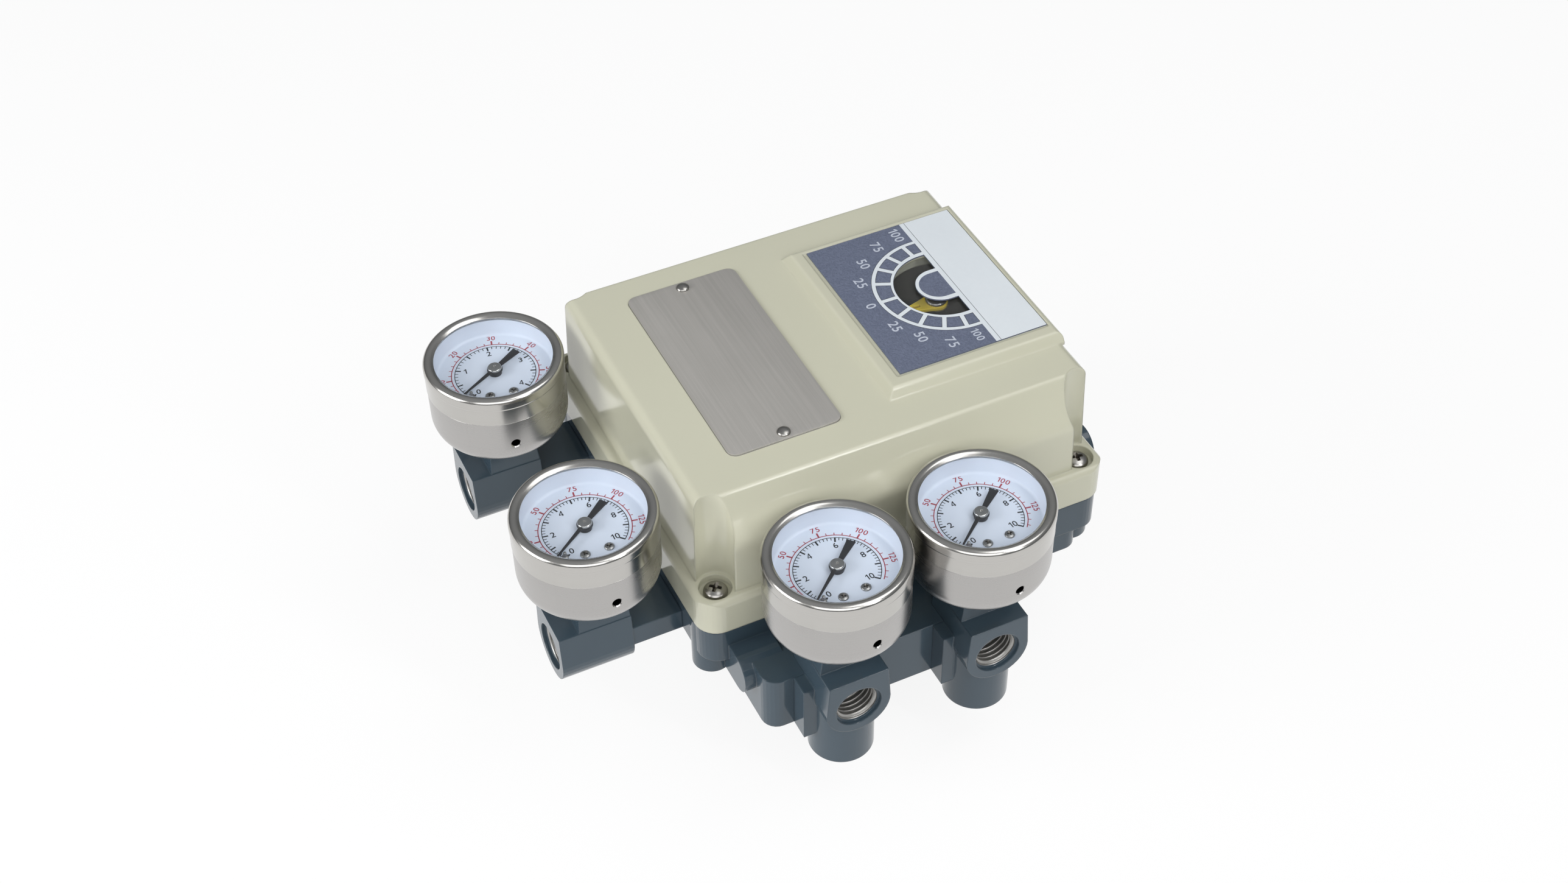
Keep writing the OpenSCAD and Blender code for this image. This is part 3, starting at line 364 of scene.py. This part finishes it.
def between(inner, outer, z):
    """A printed strip between two lines of as many points."""
    n = len(inner)
    return [(x, y, z) for x, y in inner + outer], [[k, k + 1, n + k + 1, n + k] for k in range(n - 1)]


def tick(angle, r0, r1, width, z):
    """A printed tick that lies along a radius."""
    h = width / 2
    return moved(flat([(r0, -h), (r1, -h), (r1, h), (r0, h)], z), turn=angle)


def figure_shapes():
    """Makes numbers as flat shapes; each one is centred and has the height that is asked for."""
    one = flat([(0.43, 0), (0.43, 1), (0.31, 1), (0.04, 0.8), (0.04, 0.64), (0.27, 0.8), (0.27, 0)])
    four = joined(flat([(0.4, 0), (0.54, 0), (0.54, 0.22), (0.4, 0.22)]),
                  flat([(0, 0.22), (0.64, 0.22), (0.64, 0.34), (0, 0.34)]),
                  flat([(0.4, 0.34), (0.54, 0.34), (0.54, 1), (0.4, 1)]),
                  flat([(0, 0.34), (0.14, 0.34), (0.4, 0.768), (0.4, 1)]))
    made = {"1": one, "4": four}
    space = 0.15

    def digit(sign):
        if sign not in made:
            curve = bpy.data.curves.new("digit", "FONT")
            curve.body = sign
            curve.resolution_u = 5
            curve.offset = 0.012
            holder = placed("digit", curve)
            solved = holder.evaluated_get(bpy.context.evaluated_depsgraph_get())
            mesh = bpy.data.meshes.new_from_object(solved)
            left, low = (min(v.co[i] for v in mesh.vertices) for i in (0, 1))
            tall = max(v.co.y for v in mesh.vertices) - low
            made[sign] = ([((v.co.x - left) / tall, (v.co.y - low) / tall, 0) for v in mesh.vertices],
                          [list(p.vertices) for p in mesh.polygons])
            bpy.data.objects.remove(holder)
            bpy.data.curves.remove(curve)
            bpy.data.meshes.remove(mesh)
        return made[sign]

    def figure(text, height):
        shapes, pen = [], 0.0
        for sign in text:
            shapes.append(moved(digit(sign), pen))
            pen = max(v[0] for v in shapes[-1][0]) + space
        verts, faces = joined(*shapes)
        half = (pen - space) / 2
        return [((x - half) * height, (y - 0.5) * height, 0.0) for x, y, _ in verts], faces

    return figure


figure = figure_shapes()


# Meshes and pieces

def mesh_of(name, *parts, sharp=30, edge=0.0):
    """A mesh from shapes and their finishes. Its keen edges can be bevelled."""
    mesh = bpy.data.meshes.new(name)
    for _, finish in parts:
        mesh.materials.append(finish)
    verts, faces = joined(*(shape for shape, _ in parts))
    mesh.from_pydata([(x * MM, y * MM, z * MM) for x, y, z in verts], [], faces)
    mesh.polygons.foreach_set("material_index", [k for k, (shape, _) in enumerate(parts) for _ in shape[1]])
    b = bmesh.new()
    b.from_mesh(mesh)
    if any(len(e.link_faces) == 2 for e in b.edges):
        bmesh.ops.recalc_face_normals(b, faces=b.faces)
    if edge:
        keen = [e for e in b.edges if len(e.link_faces) == 2 and e.calc_face_angle(0) > radians(30)]
        bmesh.ops.bevel(b, geom=keen, offset=edge * MM, segments=3, affect="EDGES", profile=0.5,
                        clamp_overlap=True)
    b.to_mesh(mesh)
    b.free()
    mesh.shade_smooth()
    mesh.set_sharp_from_angle(angle=radians(sharp))
    return mesh


def placed(name, data):
    """A new object in the scene."""
    made = bpy.data.objects.new(name, data)
    scene.collection.objects.link(made)
    return made


def carved(mesh, *cutters):
    """The mesh with other closed meshes cut out of it."""
    block = placed("block", mesh)
    tools = [placed("tool", cutter) for cutter in cutters]
    for tool in tools:
        cut = block.modifiers.new("cut", "BOOLEAN")
        cut.object, cut.operation = tool, "DIFFERENCE"
        cut.solver, cut.material_mode = "EXACT", "TRANSFER"
    solved = block.evaluated_get(bpy.context.evaluated_depsgraph_get())
    out = bpy.data.meshes.new_from_object(solved)
    out.name = mesh.name
    for thing in [block] + tools:
        bpy.data.objects.remove(thing)
    out.shade_smooth()
    out.set_sharp_from_angle(angle=radians(30))
    return out


def shapes_of(mesh):
    """The faces of each finish of a mesh, as shapes."""
    verts = [tuple(c / MM for c in v.co) for v in mesh.vertices]
    out = []
    for k in range(len(mesh.materials)):
        faces = [list(p.vertices) for p in mesh.polygons if p.material_index == k]
        used = {v: i for i, v in enumerate(dict.fromkeys(v for f in faces for v in f))}
        out.append(([verts[v] for v in used], [[used[v] for v in f] for f in faces]))
    return out


def piece(name, mesh, body, stands_for=(), at=(0, 0, 0), turn=0.0):
    """A piece on its body. Its turn is worked into its mesh."""
    if turn:
        mesh = mesh.copy()
        mesh.transform(Matrix.Rotation(radians(turn), 4, "Z"))
    made = placed(name, mesh)
    made.location = Vector(at) * MM
    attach(made, body)
    if stands_for:
        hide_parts(*stands_for)


# Camera: the photograph's view, solved from points measured on the plates and gauges

PHOTO_WIDTH, FOCAL_PIXELS, SENSOR = 2576, 3581.546, 36
AZIMUTH, ELEVATION, ROLL = 64.879, 43.862, -0.884
AIM, DISTANCE = (37.786, -70.639, 79.0), 630.75


def aim_camera():
    az, el, roll = radians(AZIMUTH), radians(ELEVATION), radians(ROLL)
    back = Vector((sin(az) * cos(el), -cos(az) * cos(el), sin(el)))
    level = Vector((cos(az), sin(az), 0))
    rise = back.cross(level)
    right = cos(roll) * level + sin(roll) * rise
    up = cos(roll) * rise - sin(roll) * level
    data = bpy.data.cameras.new("photo_camera")
    data.sensor_fit = "HORIZONTAL"
    data.sensor_width = SENSOR
    data.lens = FOCAL_PIXELS * SENSOR / PHOTO_WIDTH
    data.clip_start, data.clip_end = 0.02, 20
    camera = placed("photo_camera", data)
    turn = Matrix((right, up, back)).transposed().to_4x4()
    camera.matrix_world = Matrix.Translation((Vector(AIM) + back * DISTANCE) * MM) @ turn
    scene.camera = camera


aim_camera()


# Gauges: the turn of each dial, then heights, radii and angles that all four share

DIAL_TURNS = {"sup": -1, "sig": -8, "out1": 2, "out2": 3.5}
CASE_Z, DIAL_Z = heights_of("sup_gauge_case")
SEAM_Z, _ = heights_of("sup_gauge_bezel")
GLASS_Z, GLASS_TOP = heights_of("sup_gauge_glass")
LIP_Z = GLASS_TOP + 0.9
STEP_Z = LIP_Z - 3.5
FACE_Z = DIAL_Z + 0.6
PRINT_Z = FACE_Z + 0.02
NEEDLE_Z = FACE_Z + 1.7
CASE_R, SKIRT_R, BEZEL_R = 21.3, 21.45, 21.6
LINER_R, GLASS_R, LEDGE_R, OPENING_R, STEM_R = 20.5, 19.6, 18.7, 18.2, 5.16
CASE_WALL, CASE_CORNER = 0.8, 8.0
SEAM_GAP, SEAM_EDGE, FIT = 0.12, 0.1, 0.02
DIAL_HOLE, DIAL_FOOT_R, DIAL_RIM_R = 1.5, 18.1, 18.75
NEEDLE_HALF_WIDTHS = [(14.8, 0.22), (2.4, 0.6), (-2.4, 0.75), (-10.28, 1.35)]
HUB_R, CAP_R, COLLAR_R, SPINDLE_R = 2.4, 2.2, 2.05, 0.6
VENT_Z, VENT_R, VENT_ANGLE = 57.0, 1.35, 2
VENT_FROM, VENT_TO = 16, 28
ZERO_ANGLE, REST_ANGLE, SWEEP = -45.0, -53.0, 270.0
DIAL_SCREW, DIAL_SCREW_AT, DIAL_SCREW_ANGLE = (1.5, 0.75, 0.6), 10.4, 20.5
STOP_AT, STOP_ANGLE = 12.3, REST_ANGLE + 5

# Radii of a scale's line, radii and width of its ticks, radius and height of its figures
BLACK_SCALE = {"line": (12.33, 12.56), "long": (10.75, 12.55, 0.5), "short": (11.4, 12.55, 0.24),
               "figures": (9.4, 2.1)}
RED_SCALE = {"line": (13.32, 13.6), "long": (13.4, 15.2, 0.5), "short": (13.4, 14.4, 0.25),
             "figures": (16.5, 1.95)}
LONG_EVERY = 5

# Full reading, step and figures of each kind of dial: its black scale, then its red one
HIGH_READING = (10, 0.2, range(0, 11, 2)), (142.2, 5, range(0, 126, 25))
LOW_READING = (4, 0.1, range(5)), (56.9, 2, range(0, 51, 10))


def gauge_axis(gauge):
    x0, y0, x1, y1 = plan_of(gauge + "_gauge_bezel")
    return (x0 + x1) / 2, (y0 + y1) / 2, 0


def cross_head(r, h, recess):
    """A domed screw head with a cross recess, which goes down a share of the head's height."""
    dome = [(0, 0), (r * 0.97, 0), (r, h * 0.12), (r, h * 0.3)]
    dome += [(r * cos(radians(a)), h * (0.3 + 0.7 * sin(radians(a)))) for a in range(10, 90, 10)] + [(0, h)]
    head = mesh_of("head", (lathe(dome, 40, closed=False), SCREW_STEEL))
    w, reach = r * 0.17, r * 0.62
    arm = [(w, -reach), (w, -w * 1.3), (w * 1.3, -w), (reach, -w)]
    cross = arm + [(-y, x) for x, y in arm] + [(-x, -y) for x, y in arm] + [(y, -x) for x, y in arm]
    verts, faces = slab(cross, h * (1 - recess), h * 1.2)
    taper = [0.45] * len(cross) + [1.12] * len(cross)
    verts = [(x * t, y * t, z) for (x, y, z), t in zip(verts, taper)]
    # The recess faces take the darker finish: painted shade inside the cross.
    return carved(head, mesh_of("driver", ((verts, faces), RECESS_PAINTED_SHADE)))


def gauge_case_mesh():
    """A spun cup with an inner ledge, and a vent with a flared edge drilled in its side."""
    inside = CASE_Z + CASE_WALL
    wall = rounded([(STEM_R, CASE_Z, 0.3), (CASE_R, CASE_Z, CASE_CORNER), (CASE_R, SEAM_Z, SEAM_EDGE),
                    (LINER_R, SEAM_Z, 0), (LINER_R, DIAL_Z, 0), (LEDGE_R, DIAL_Z, 0),
                    (LEDGE_R, SEAM_Z - 0.8, 0), (LINER_R, SEAM_Z - 1.6, 0),
                    (LINER_R, inside, CASE_CORNER - CASE_WALL), (STEM_R, inside, 0)], 14)
    case = mesh_of("gauge_case", (lathe(wall, 160), CASE_STEEL))
    c, s = on_circle(1, VENT_ANGLE)

    def drill(profile, finish):
        verts, faces = lathe(profile, 32, closed=False)
        turned = [(z * c - x * s, z * s + x * c, VENT_Z + y) for x, y, z in verts]
        return mesh_of("vent", ((turned, faces), finish))

    low, high = CASE_R - 0.35, CASE_R + 0.15
    flare = drill([(0, low), (VENT_R - 0.05, low), (VENT_R + 0.45, high), (0, high)], CASE_STEEL)
    # The vent's bore takes the blackened steel finish: painted shade inside the hole.
    hole = drill([(0, VENT_FROM), (VENT_R, VENT_FROM), (VENT_R, VENT_TO), (0, VENT_TO)], DARK_STEEL)
    return carved(case, flare, hole)


def gauge_bezel_mesh():
    """Spun ring: a straight skirt, a shallow step, and a rounded rim that rolls in over the glass."""
    ring = rounded([(LINER_R + FIT, SEAM_Z + SEAM_GAP, 0), (SKIRT_R, SEAM_Z + SEAM_GAP, SEAM_EDGE),
                    (SKIRT_R, STEP_Z - 0.4, 0.5), (BEZEL_R, STEP_Z, 0.5), (BEZEL_R, LIP_Z, 1.6),
                    (BEZEL_R - 2.3, LIP_Z, 1.9), (OPENING_R, LIP_Z - 0.75, 0.12),
                    (OPENING_R, GLASS_TOP, 0), (LINER_R + FIT, GLASS_TOP, 0)], 12)
    return mesh_of("gauge_bezel", (lathe(ring, 160), BEZEL_STEEL), sharp=40)


def gauge_glass_mesh():
    pane = rounded([(0, GLASS_Z, 0), (GLASS_R, GLASS_Z, 0.15), (GLASS_R, GLASS_TOP, 0.15),
                    (0, GLASS_TOP, 0)], 3)
    return mesh_of("gauge_glass", (lathe(pane, 96, closed=False), GAUGE_GLASS))


def gauge_dial_mesh():
    """A shallow white cup: the dial's face and the wall that rises from it to the glass."""
    cup = [(DIAL_HOLE, DIAL_Z), (GLASS_R, DIAL_Z), (GLASS_R, GLASS_Z)]
    cup += rounded([(DIAL_RIM_R + 0.05, GLASS_Z, 0), (DIAL_RIM_R, GLASS_Z - 0.1, 0.08),
                    (DIAL_FOOT_R, FACE_Z, 1.0), (DIAL_HOLE, FACE_Z, 0)])
    return mesh_of("gauge_dial", (lathe(cup, 128), DIAL_WHITE))


def dial_scale(look, full, step, numbers, upright):
    """One printed scale. Its figures stand upright or follow the arc."""
    inner, outer = (arc(r, ZERO_ANGLE, ZERO_ANGLE - SWEEP, 120) for r in look["line"])
    shapes = [between(inner, outer, PRINT_Z)]
    for k in range(int(full / step + 0.01) + 1):
        r0, r1, width = look["short" if k % LONG_EVERY else "long"]
        shapes.append(tick(ZERO_ANGLE - SWEEP * k * step / full, r0, r1, width, PRINT_Z))
    r, height = look["figures"]
    for n in numbers:
        angle = ZERO_ANGLE - SWEEP * n / full
        turn = 90 if upright else angle - 90
        shapes.append(moved(figure(str(n), height), *on_circle(r, angle), PRINT_Z, turn))
    return joined(*shapes)


def gauge_scale_mesh(name, black, red):
    black = dial_scale(BLACK_SCALE, *black, upright=True)
    red = dial_scale(RED_SCALE, *red, upright=False)
    return mesh_of(name, (black, INK_BLACK), (red, INK_RED))


def needle_mesh():
    """A tapered blade with a broad tail, on a washer and a collar."""
    blade = NEEDLE_HALF_WIDTHS + [(x, -w) for x, w in reversed(NEEDLE_HALF_WIDTHS)]
    arrow = slab(blade, NEEDLE_Z, NEEDLE_Z + 0.35)
    low, high = NEEDLE_Z - 0.4, NEEDLE_Z + 0.45
    washer = rounded([(SPINDLE_R, low, 0), (HUB_R, low, 0.2), (HUB_R, high, 0.25),
                      (SPINDLE_R, high, 0)], 4)
    low, high = FACE_Z + 0.1, NEEDLE_Z - 0.45
    collar = rounded([(SPINDLE_R, low, 0), (COLLAR_R, low, 0.1), (COLLAR_R, high, 0.1),
                      (SPINDLE_R, high, 0)], 3)
    whole = joined(moved(arrow, turn=REST_ANGLE), lathe(washer, 48), lathe(collar, 48))
    return mesh_of("gauge_needle", (whole, NEEDLE_BLACK), edge=0.06)


def needle_cap_mesh():
    """A flat cap with a rounded edge and a dimple."""
    z = NEEDLE_Z + 0.42
    dome = rounded([(0, z, 0), (CAP_R, z, 0.05), (CAP_R, z + 0.66, 0.45), (0.42, z + 0.72, 0.08),
                    (0.3, z + 0.3, 0.05), (0, z + 0.25, 0)], 6)
    return mesh_of("needle_cap", (lathe(dome, 48, closed=False), BEZEL_STEEL))


def dial_fittings_mesh():
    """Two cross-head screws and the stop pin, on one dial."""
    head, recess = shapes_of(cross_head(*DIAL_SCREW))
    spots = [(*on_circle(DIAL_SCREW_AT, a), FACE_Z, a * 3 + 20)
             for a in (-DIAL_SCREW_ANGLE, DIAL_SCREW_ANGLE)]
    pin = rounded([(0, 0, 0), (1.0, 0, 0), (1.0, 0.5, 0.2), (0.5, 0.6, 0.1), (0.5, 2.05, 0.3),
                   (0, 2.1, 0)], 4)
    pin = moved(lathe(pin, 24, closed=False), *on_circle(STOP_AT, STOP_ANGLE), FACE_Z)
    bright = joined(*(moved(head, *spot) for spot in spots), pin)
    # The screws' recess faces are painted shade.
    dark = joined(*(moved(recess, *spot) for spot in spots))
    return mesh_of("dial_fittings", (bright, SCREW_STEEL), (dark, RECESS_PAINTED_SHADE))


def build_gauges():
    case, bezel, glass, dial = gauge_case_mesh(), gauge_bezel_mesh(), gauge_glass_mesh(), gauge_dial_mesh()
    needle, cap, fittings = needle_mesh(), needle_cap_mesh(), dial_fittings_mesh()
    high = gauge_scale_mesh("gauge_scale_high", *HIGH_READING)
    low = gauge_scale_mesh("gauge_scale_low", *LOW_READING)
    for g, turn in DIAL_TURNS.items():
        at = gauge_axis(g)
        scale = low if g == "sig" else high
        piece(g + "_case", case, "housing", [g + "_gauge_case"], at, turn)
        piece(g + "_bezel", bezel, "housing", [g + "_gauge_bezel"], at)
        piece(g + "_glass", glass, "housing", [g + "_gauge_glass"], at)
        piece(g + "_dial", dial, "housing", [g + "_gauge_dial"], at)
        piece(g + "_scale", scale, "housing", (), at, turn)
        piece(g + "_fittings", fittings, "housing", ["dial_fittings"], at, turn)
        piece(g + "_needle", needle, g + "_needle", [g + "_gauge_pointer"], at, turn)
        piece(g + "_needle_cap", cap, g + "_needle", [g + "_gauge_pointer"], at, turn)


build_gauges()


# Ports: the height of their mouths, and the thread inside them

PORT_Z = 23.8
THREAD_PITCH, THREAD_FROM, THREAD_TO, THREAD_RUN_IN = 1.6, 1.42, 14.0, 1.2
THREAD_ROOT_R, THREAD_HEIGHT = 6.57, 0.85


def port_thread_mesh():
    """A threaded bore from behind the port's plain mouth inwards: a helix in the wall."""
    around, rows = 72, 132
    verts, faces = [], []
    for j in range(rows + 1):
        depth = THREAD_FROM + (THREAD_TO - THREAD_FROM) * j / rows
        grown = min(1.0, (depth - THREAD_FROM) / THREAD_RUN_IN)
        for k in range(around):
            phase = (depth / THREAD_PITCH + k / around) % 1.0
            crest = min(1.0, max(0.0, (0.5 - abs(phase - 0.5)) / 0.22 - 0.15))
            r = THREAD_ROOT_R - THREAD_HEIGHT * crest * grown
            verts.append((-depth, *on_circle(r, 360 * k / around)))
    for j in range(rows):
        for k in range(around):
            n = (k + 1) % around
            faces.append([j * around + k, j * around + n, (j + 1) * around + n, (j + 1) * around + k])
    return mesh_of("port_thread", ((verts, faces), BARE_ALUMINIUM), sharp=60)


def build_ports():
    thread = port_thread_mesh()
    for g in DIAL_TURNS:
        x, y, _ = gauge_axis(g)
        _, front, side, _ = plan_of(g + "_port_block")
        if g.startswith("out"):
            mouth, turn = (side, y, PORT_Z), 0
        else:
            mouth, turn = (x, front, PORT_Z), -90
        piece(g + "_port_thread", thread, "housing", at=mouth, turn=turn)


build_ports()


# Plate and screws on the cover

PLATE = plan_of("name_plate")
PLATE_Z, PLATE_TOP = heights_of("name_plate")
PLATE_CORNER, PLATE_SHADOW_WIDTH, PLATE_SHADOW_THICK = 3.0, 0.15, 0.1
RIVET_INSET, RIVET_R, RIVET_FOOT, RIVET_H = 2.7, 2.1, 0.1, 1.05
FLANGE_Z, COUNTERBORE = 47.7, 2.4
COVER_SCREW, COVER_SCREW_INSET = (3.65, 2.7, 0.55), 7.2


def build_name_plate():
    """A bare brushed sheet held by two domed rivets, on a slightly larger dark slab whose thin rim is
    painted shadow along the plate's edge.
    """
    sheet = slab(rectangle(PLATE, 0, PLATE_CORNER), PLATE_Z, PLATE_TOP)
    # The dark rim that shows around the plate is painted shadow.
    shadow_rim = rectangle(PLATE, PLATE_SHADOW_WIDTH, PLATE_CORNER + PLATE_SHADOW_WIDTH)
    shadow_rim = slab(shadow_rim, PLATE_Z, PLATE_Z + PLATE_SHADOW_THICK)
    plate = mesh_of("name_plate_sheet", (sheet, PLATE_STEEL), (shadow_rim, PLATE_EDGE_SHADOW), edge=0.12)
    piece("name_plate_sheet", plate, "housing", ["name_plate"])
    dome = [(RIVET_R * cos(radians(a)), RIVET_FOOT + RIVET_H * sin(radians(a))) for a in range(0, 90, 9)]
    head = lathe([(0, 0), (RIVET_R, 0)] + dome + [(0, RIVET_FOOT + RIVET_H)], 40, closed=False)
    x0, y0, x1, y1 = PLATE
    places = x0 + RIVET_INSET, x1 - RIVET_INSET
    heads = joined(*(moved(head, x, (y0 + y1) / 2, PLATE_TOP) for x in places))
    piece("name_plate_rivet_heads", mesh_of("rivets", (heads, SCREW_STEEL)), "housing",
          ["name_plate_rivets"])


def build_cover_screws():
    head, recess = shapes_of(cross_head(*COVER_SCREW))
    x0, y0, x1, y1 = plan_of("cover")
    x0, x1 = x0 + COVER_SCREW_INSET, x1 - COVER_SCREW_INSET
    y0, y1 = y0 + COVER_SCREW_INSET, y1 - COVER_SCREW_INSET
    z = FLANGE_Z - COUNTERBORE
    spots = [(x0, y0, z, -30), (x0, y1, z, 0), (x1, y0, z, 50), (x1, y1, z, 80)]
    bright, dark = (joined(*(moved(shape, *spot) for spot in spots)) for shape in (head, recess))
    # The recess faces of the cover screws are painted shade.
    heads = mesh_of("cover_screw_heads", (bright, SCREW_STEEL), (dark, RECESS_PAINTED_SHADE))
    piece("cover_screw_heads", heads, "housing", ["cover_screws"])


# The dial's film in its recess. Measured on the photograph turned to a plan view: the level edge
# of its white strip, the ring of cells, the half-round window, the tab in it, and the figures

FILM, FILM_INSET = plan_of("dial_plate"), 0.18
FILM_LOW, PAD_Z = heights_of("dial_plate")
FILM_TOP = PAD_Z - 0.06
FILM_PRINT_Z, FILM_LAYER = FILM_TOP + 0.01, 0.004
EDGE_Y = 4.2
RING, CELL_R, RING_R = (-1.05, 2.95), (16.5, 20.9), 22.25
WINDOW, WINDOW_R = (-1.0, 2.3), 14.9
TAB, TAB_R = (-1.0, 1.6), 7.5
TAB_CORE, TAB_CORE_R = (-1.1, 1.1), 5.9
LINE_Y = (5.78, 5.92)
CELL_GAP, CELL_LINE, RING_LINE = 0.85, 0.17, 0.16
SPOKES = (188, 207, 225.3, 245.5, 269.2, 292, 312, 332.4, 351.3)
MARKS = (("100", -28.4, 0.9, 3.25), ("75", -25.9, -7.4, 3.25), ("50", -20.2, -15.0, 3.25),
         ("25", -12.3, -20.1, 3.25), ("0", -1.1, -22.2, 3.25), ("25", 10.6, -20.0, 3.25),
         ("50", 18.3, -15.2, 3.25), ("75", 24.5, -8.0, 3.25), ("100", 24.9, 0.6, 2.7))


def u_shape(centre, r, steps=48):
    """A half circle with straight sides up to the level edge."""
    return [(centre[0] - r, EDGE_Y)] + arc(r, 180, 360, steps, centre) + [(centre[0] + r, EDGE_Y)]


def ring_cells(z, grow):
    """The cells of the ring between its spokes, grown by a line's width where asked."""
    cells = []
    stops = (180,) + SPOKES + (360,)
    for a0, a1 in zip(stops, stops[1:]):
        sides = []
        for r in (CELL_R[0] - grow, CELL_R[1] + grow):
            gap = degrees((CELL_GAP - grow) / r)
            side = arc(r, a0 if a0 == 180 else a0 + gap, a1 if a1 == 360 else a1 - gap, 8, RING)
            top = EDGE_Y - 0.12 + grow
            if a0 == 180:
                side.insert(0, (side[0][0], top))
            if a1 == 360:
                side.append((side[-1][0], top))
            sides.append(side)
        cells.append(between(*sides, z))
    return joined(*cells)


def build_dial_film():
    """The film with its window, and its print as thin patches in layers just above it."""
    edge = rectangle(FILM, -FILM_INSET)
    sheet = mesh_of("dial_film", (slab(edge, FILM_LOW, FILM_TOP), FILM_BLUE))
    window = slab(u_shape(WINDOW, WINDOW_R) + u_shape(TAB, TAB_R)[::-1], FILM_LOW - 1, FILM_TOP + 1)
    film = carved(sheet, mesh_of("window", (window, FILM_BLUE)))
    piece("dial_film", film, "housing", ["dial_plate"])

    z = FILM_PRINT_Z
    (x0, _), _, (x1, y1), _ = edge
    strip = flat([(x0, EDGE_Y), (WINDOW[0] - WINDOW_R, EDGE_Y), (WINDOW[0] + WINDOW_R, EDGE_Y),
                  (x1, EDGE_Y), (x1, y1), (x0, y1)], z)
    ring = u_shape(RING, RING_R)
    white = joined(strip, between(ring, u_shape(WINDOW, WINDOW_R + 0.05), z),
                   between(u_shape(TAB, TAB_R - 0.05, 32), u_shape(TAB_CORE, TAB_CORE_R, 32), z))
    line = flat(rectangle((x0, LINE_Y[0], x1, LINE_Y[1])), z + 2 * FILM_LAYER)
    lines = joined(line, between(ring, u_shape(RING, RING_R + RING_LINE), z + FILM_LAYER / 4),
                   ring_cells(z + FILM_LAYER, CELL_LINE))
    cells = ring_cells(z + 2 * FILM_LAYER, 0.0)
    figures = joined(*(moved(figure(text, h), x, y, z + FILM_LAYER) for text, x, y, h in MARKS))
    prints = mesh_of("dial_film_print", (white, PRINT_WHITE), (lines, PRINT_LINE), (cells, FILM_BLUE),
                     (figures, PRINT_GREY))
    piece("dial_film_print", prints, "housing")


# The pointer on the shaft, under the film's window

POINTER_Z, POINTER_TOP = heights_of("position_pointer")
POINTER_HUB_R, POINTER_TIP, POINTER_SLOT_END, POINTER_HALF_SLOT = 3.8, -12.05, -5.6, 0.45
POINTER_SCREW = (3.4, 1.65, 0.5)


def build_pointer():
    """A round hub that tapers to a tip split by a slot, held by a cross-head screw."""
    s = POINTER_HALF_SLOT
    outline = arc(POINTER_HUB_R, 0, 180, 24)
    outline += [(-s, POINTER_TIP), (-s, POINTER_SLOT_END), (s, POINTER_SLOT_END), (s, POINTER_TIP)]
    arrow = mesh_of("position_arrow", (slab(outline, POINTER_Z, POINTER_TOP), POINTER_YELLOW), edge=0.15)
    piece("position_arrow", arrow, "shaft", ["position_pointer"])
    head, recess = (moved(shape, z=POINTER_TOP) for shape in shapes_of(cross_head(*POINTER_SCREW)))
    # The screw's recess faces are painted shade.
    screw = mesh_of("arrow_screw", (head, SCREW_STEEL), (recess, RECESS_PAINTED_SHADE))
    piece("position_arrow_screw", screw, "shaft", ["pointer_screw"])


build_name_plate()
build_cover_screws()
build_dial_film()
build_pointer()


# The other CAD solids keep their shape and take their finish

def dress_solids():
    for part in frame["record"]["subparts"]:
        solid = frame["nodes"][part["node"]]
        if solid.hide_render:
            continue
        solid.data.materials.clear()
        solid.data.materials.append(BY_SLOT[part["material_slot"]])
        solid.data.shade_smooth()
        solid.data.set_sharp_from_angle(angle=radians(28))


dress_solids()


# Floor and light

FLOOR_HALF, FLOOR_GLOW = 3.0, 0.88
SKY_LOW, SKY_RISE = 0.10, 0.28
LIT_POINT = (0.02, -0.06, 0.04)
SOFTBOXES = (("top_softbox", (0.25, 0.30, 1.00), (0.7, 0.6), 3.1),
             ("front_strip", (0.85, 0.30, 0.80), (0.12, 0.5), 3.0),
             ("camera_softbox", (0.80, -0.45, 0.70), (1.0, 0.6), 4.4),
             ("left_softbox", (-0.05, -1.05, 0.50), (0.6, 0.5), 7.0))


def lay_floor():
    """A pale floor that is white to the camera and in reflections, and keeps the shadow."""
    f = Finish("pale_floor")
    camera, mirror, glass = (f.add("LightPath", out=ray)
                             for ray in ("Is Camera Ray", "Is Glossy Ray", "Is Transmission Ray"))
    seen = (camera + mirror).math("ADD", glass, clamp=True)
    matt = f.add("BsdfDiffuse", {}, {"Color": (0.9, 0.9, 0.9, 1)})
    glow = f.add("Emission", {}, {"Color": (1, 1, 1, 1), "Strength": 1.0})
    surface = f.add("MixShader", {}, {0: seen * FLOOR_GLOW, 1: matt, 2: glow})
    f.add("OutputMaterial", {}, {"Surface": surface})
    mesh = bpy.data.meshes.new("floor")
    h, low = FLOOR_HALF, cad_box[0][2] - 0.0005
    mesh.from_pydata([(-h, -h, low), (h, -h, low), (h, h, low), (-h, h, low)], [], [[0, 1, 2, 3]])
    mesh.materials.append(f.material)
    placed("floor", mesh)


def light_studio():
    """A soft sky that is brighter overhead, and four softboxes aimed at the part."""
    sky = Finish("studio", bpy.data.worlds)
    up = sky.add("SeparateXYZ", {}, {0: sky.add("TexCoord", out="Generated")}, out="Z")
    level = up.math("MAXIMUM", 0.0) * SKY_RISE + SKY_LOW
    light = sky.add("Background", {}, {"Color": (0.95, 0.975, 1.0, 1), "Strength": level})
    sky.add("OutputWorld", {}, {"Surface": light})
    scene.world = sky.material
    for name, at, size, watts in SOFTBOXES:
        data = bpy.data.lights.new(name, "AREA")
        data.shape, data.energy = "RECTANGLE", watts
        data.size, data.size_y = size
        box = placed(name, data)
        box.location = at
        box.rotation_euler = (Vector(LIT_POINT) - Vector(at)).to_track_quat("-Z", "Y").to_euler()


lay_floor()
light_studio()
scene.view_settings.view_transform = "Standard"
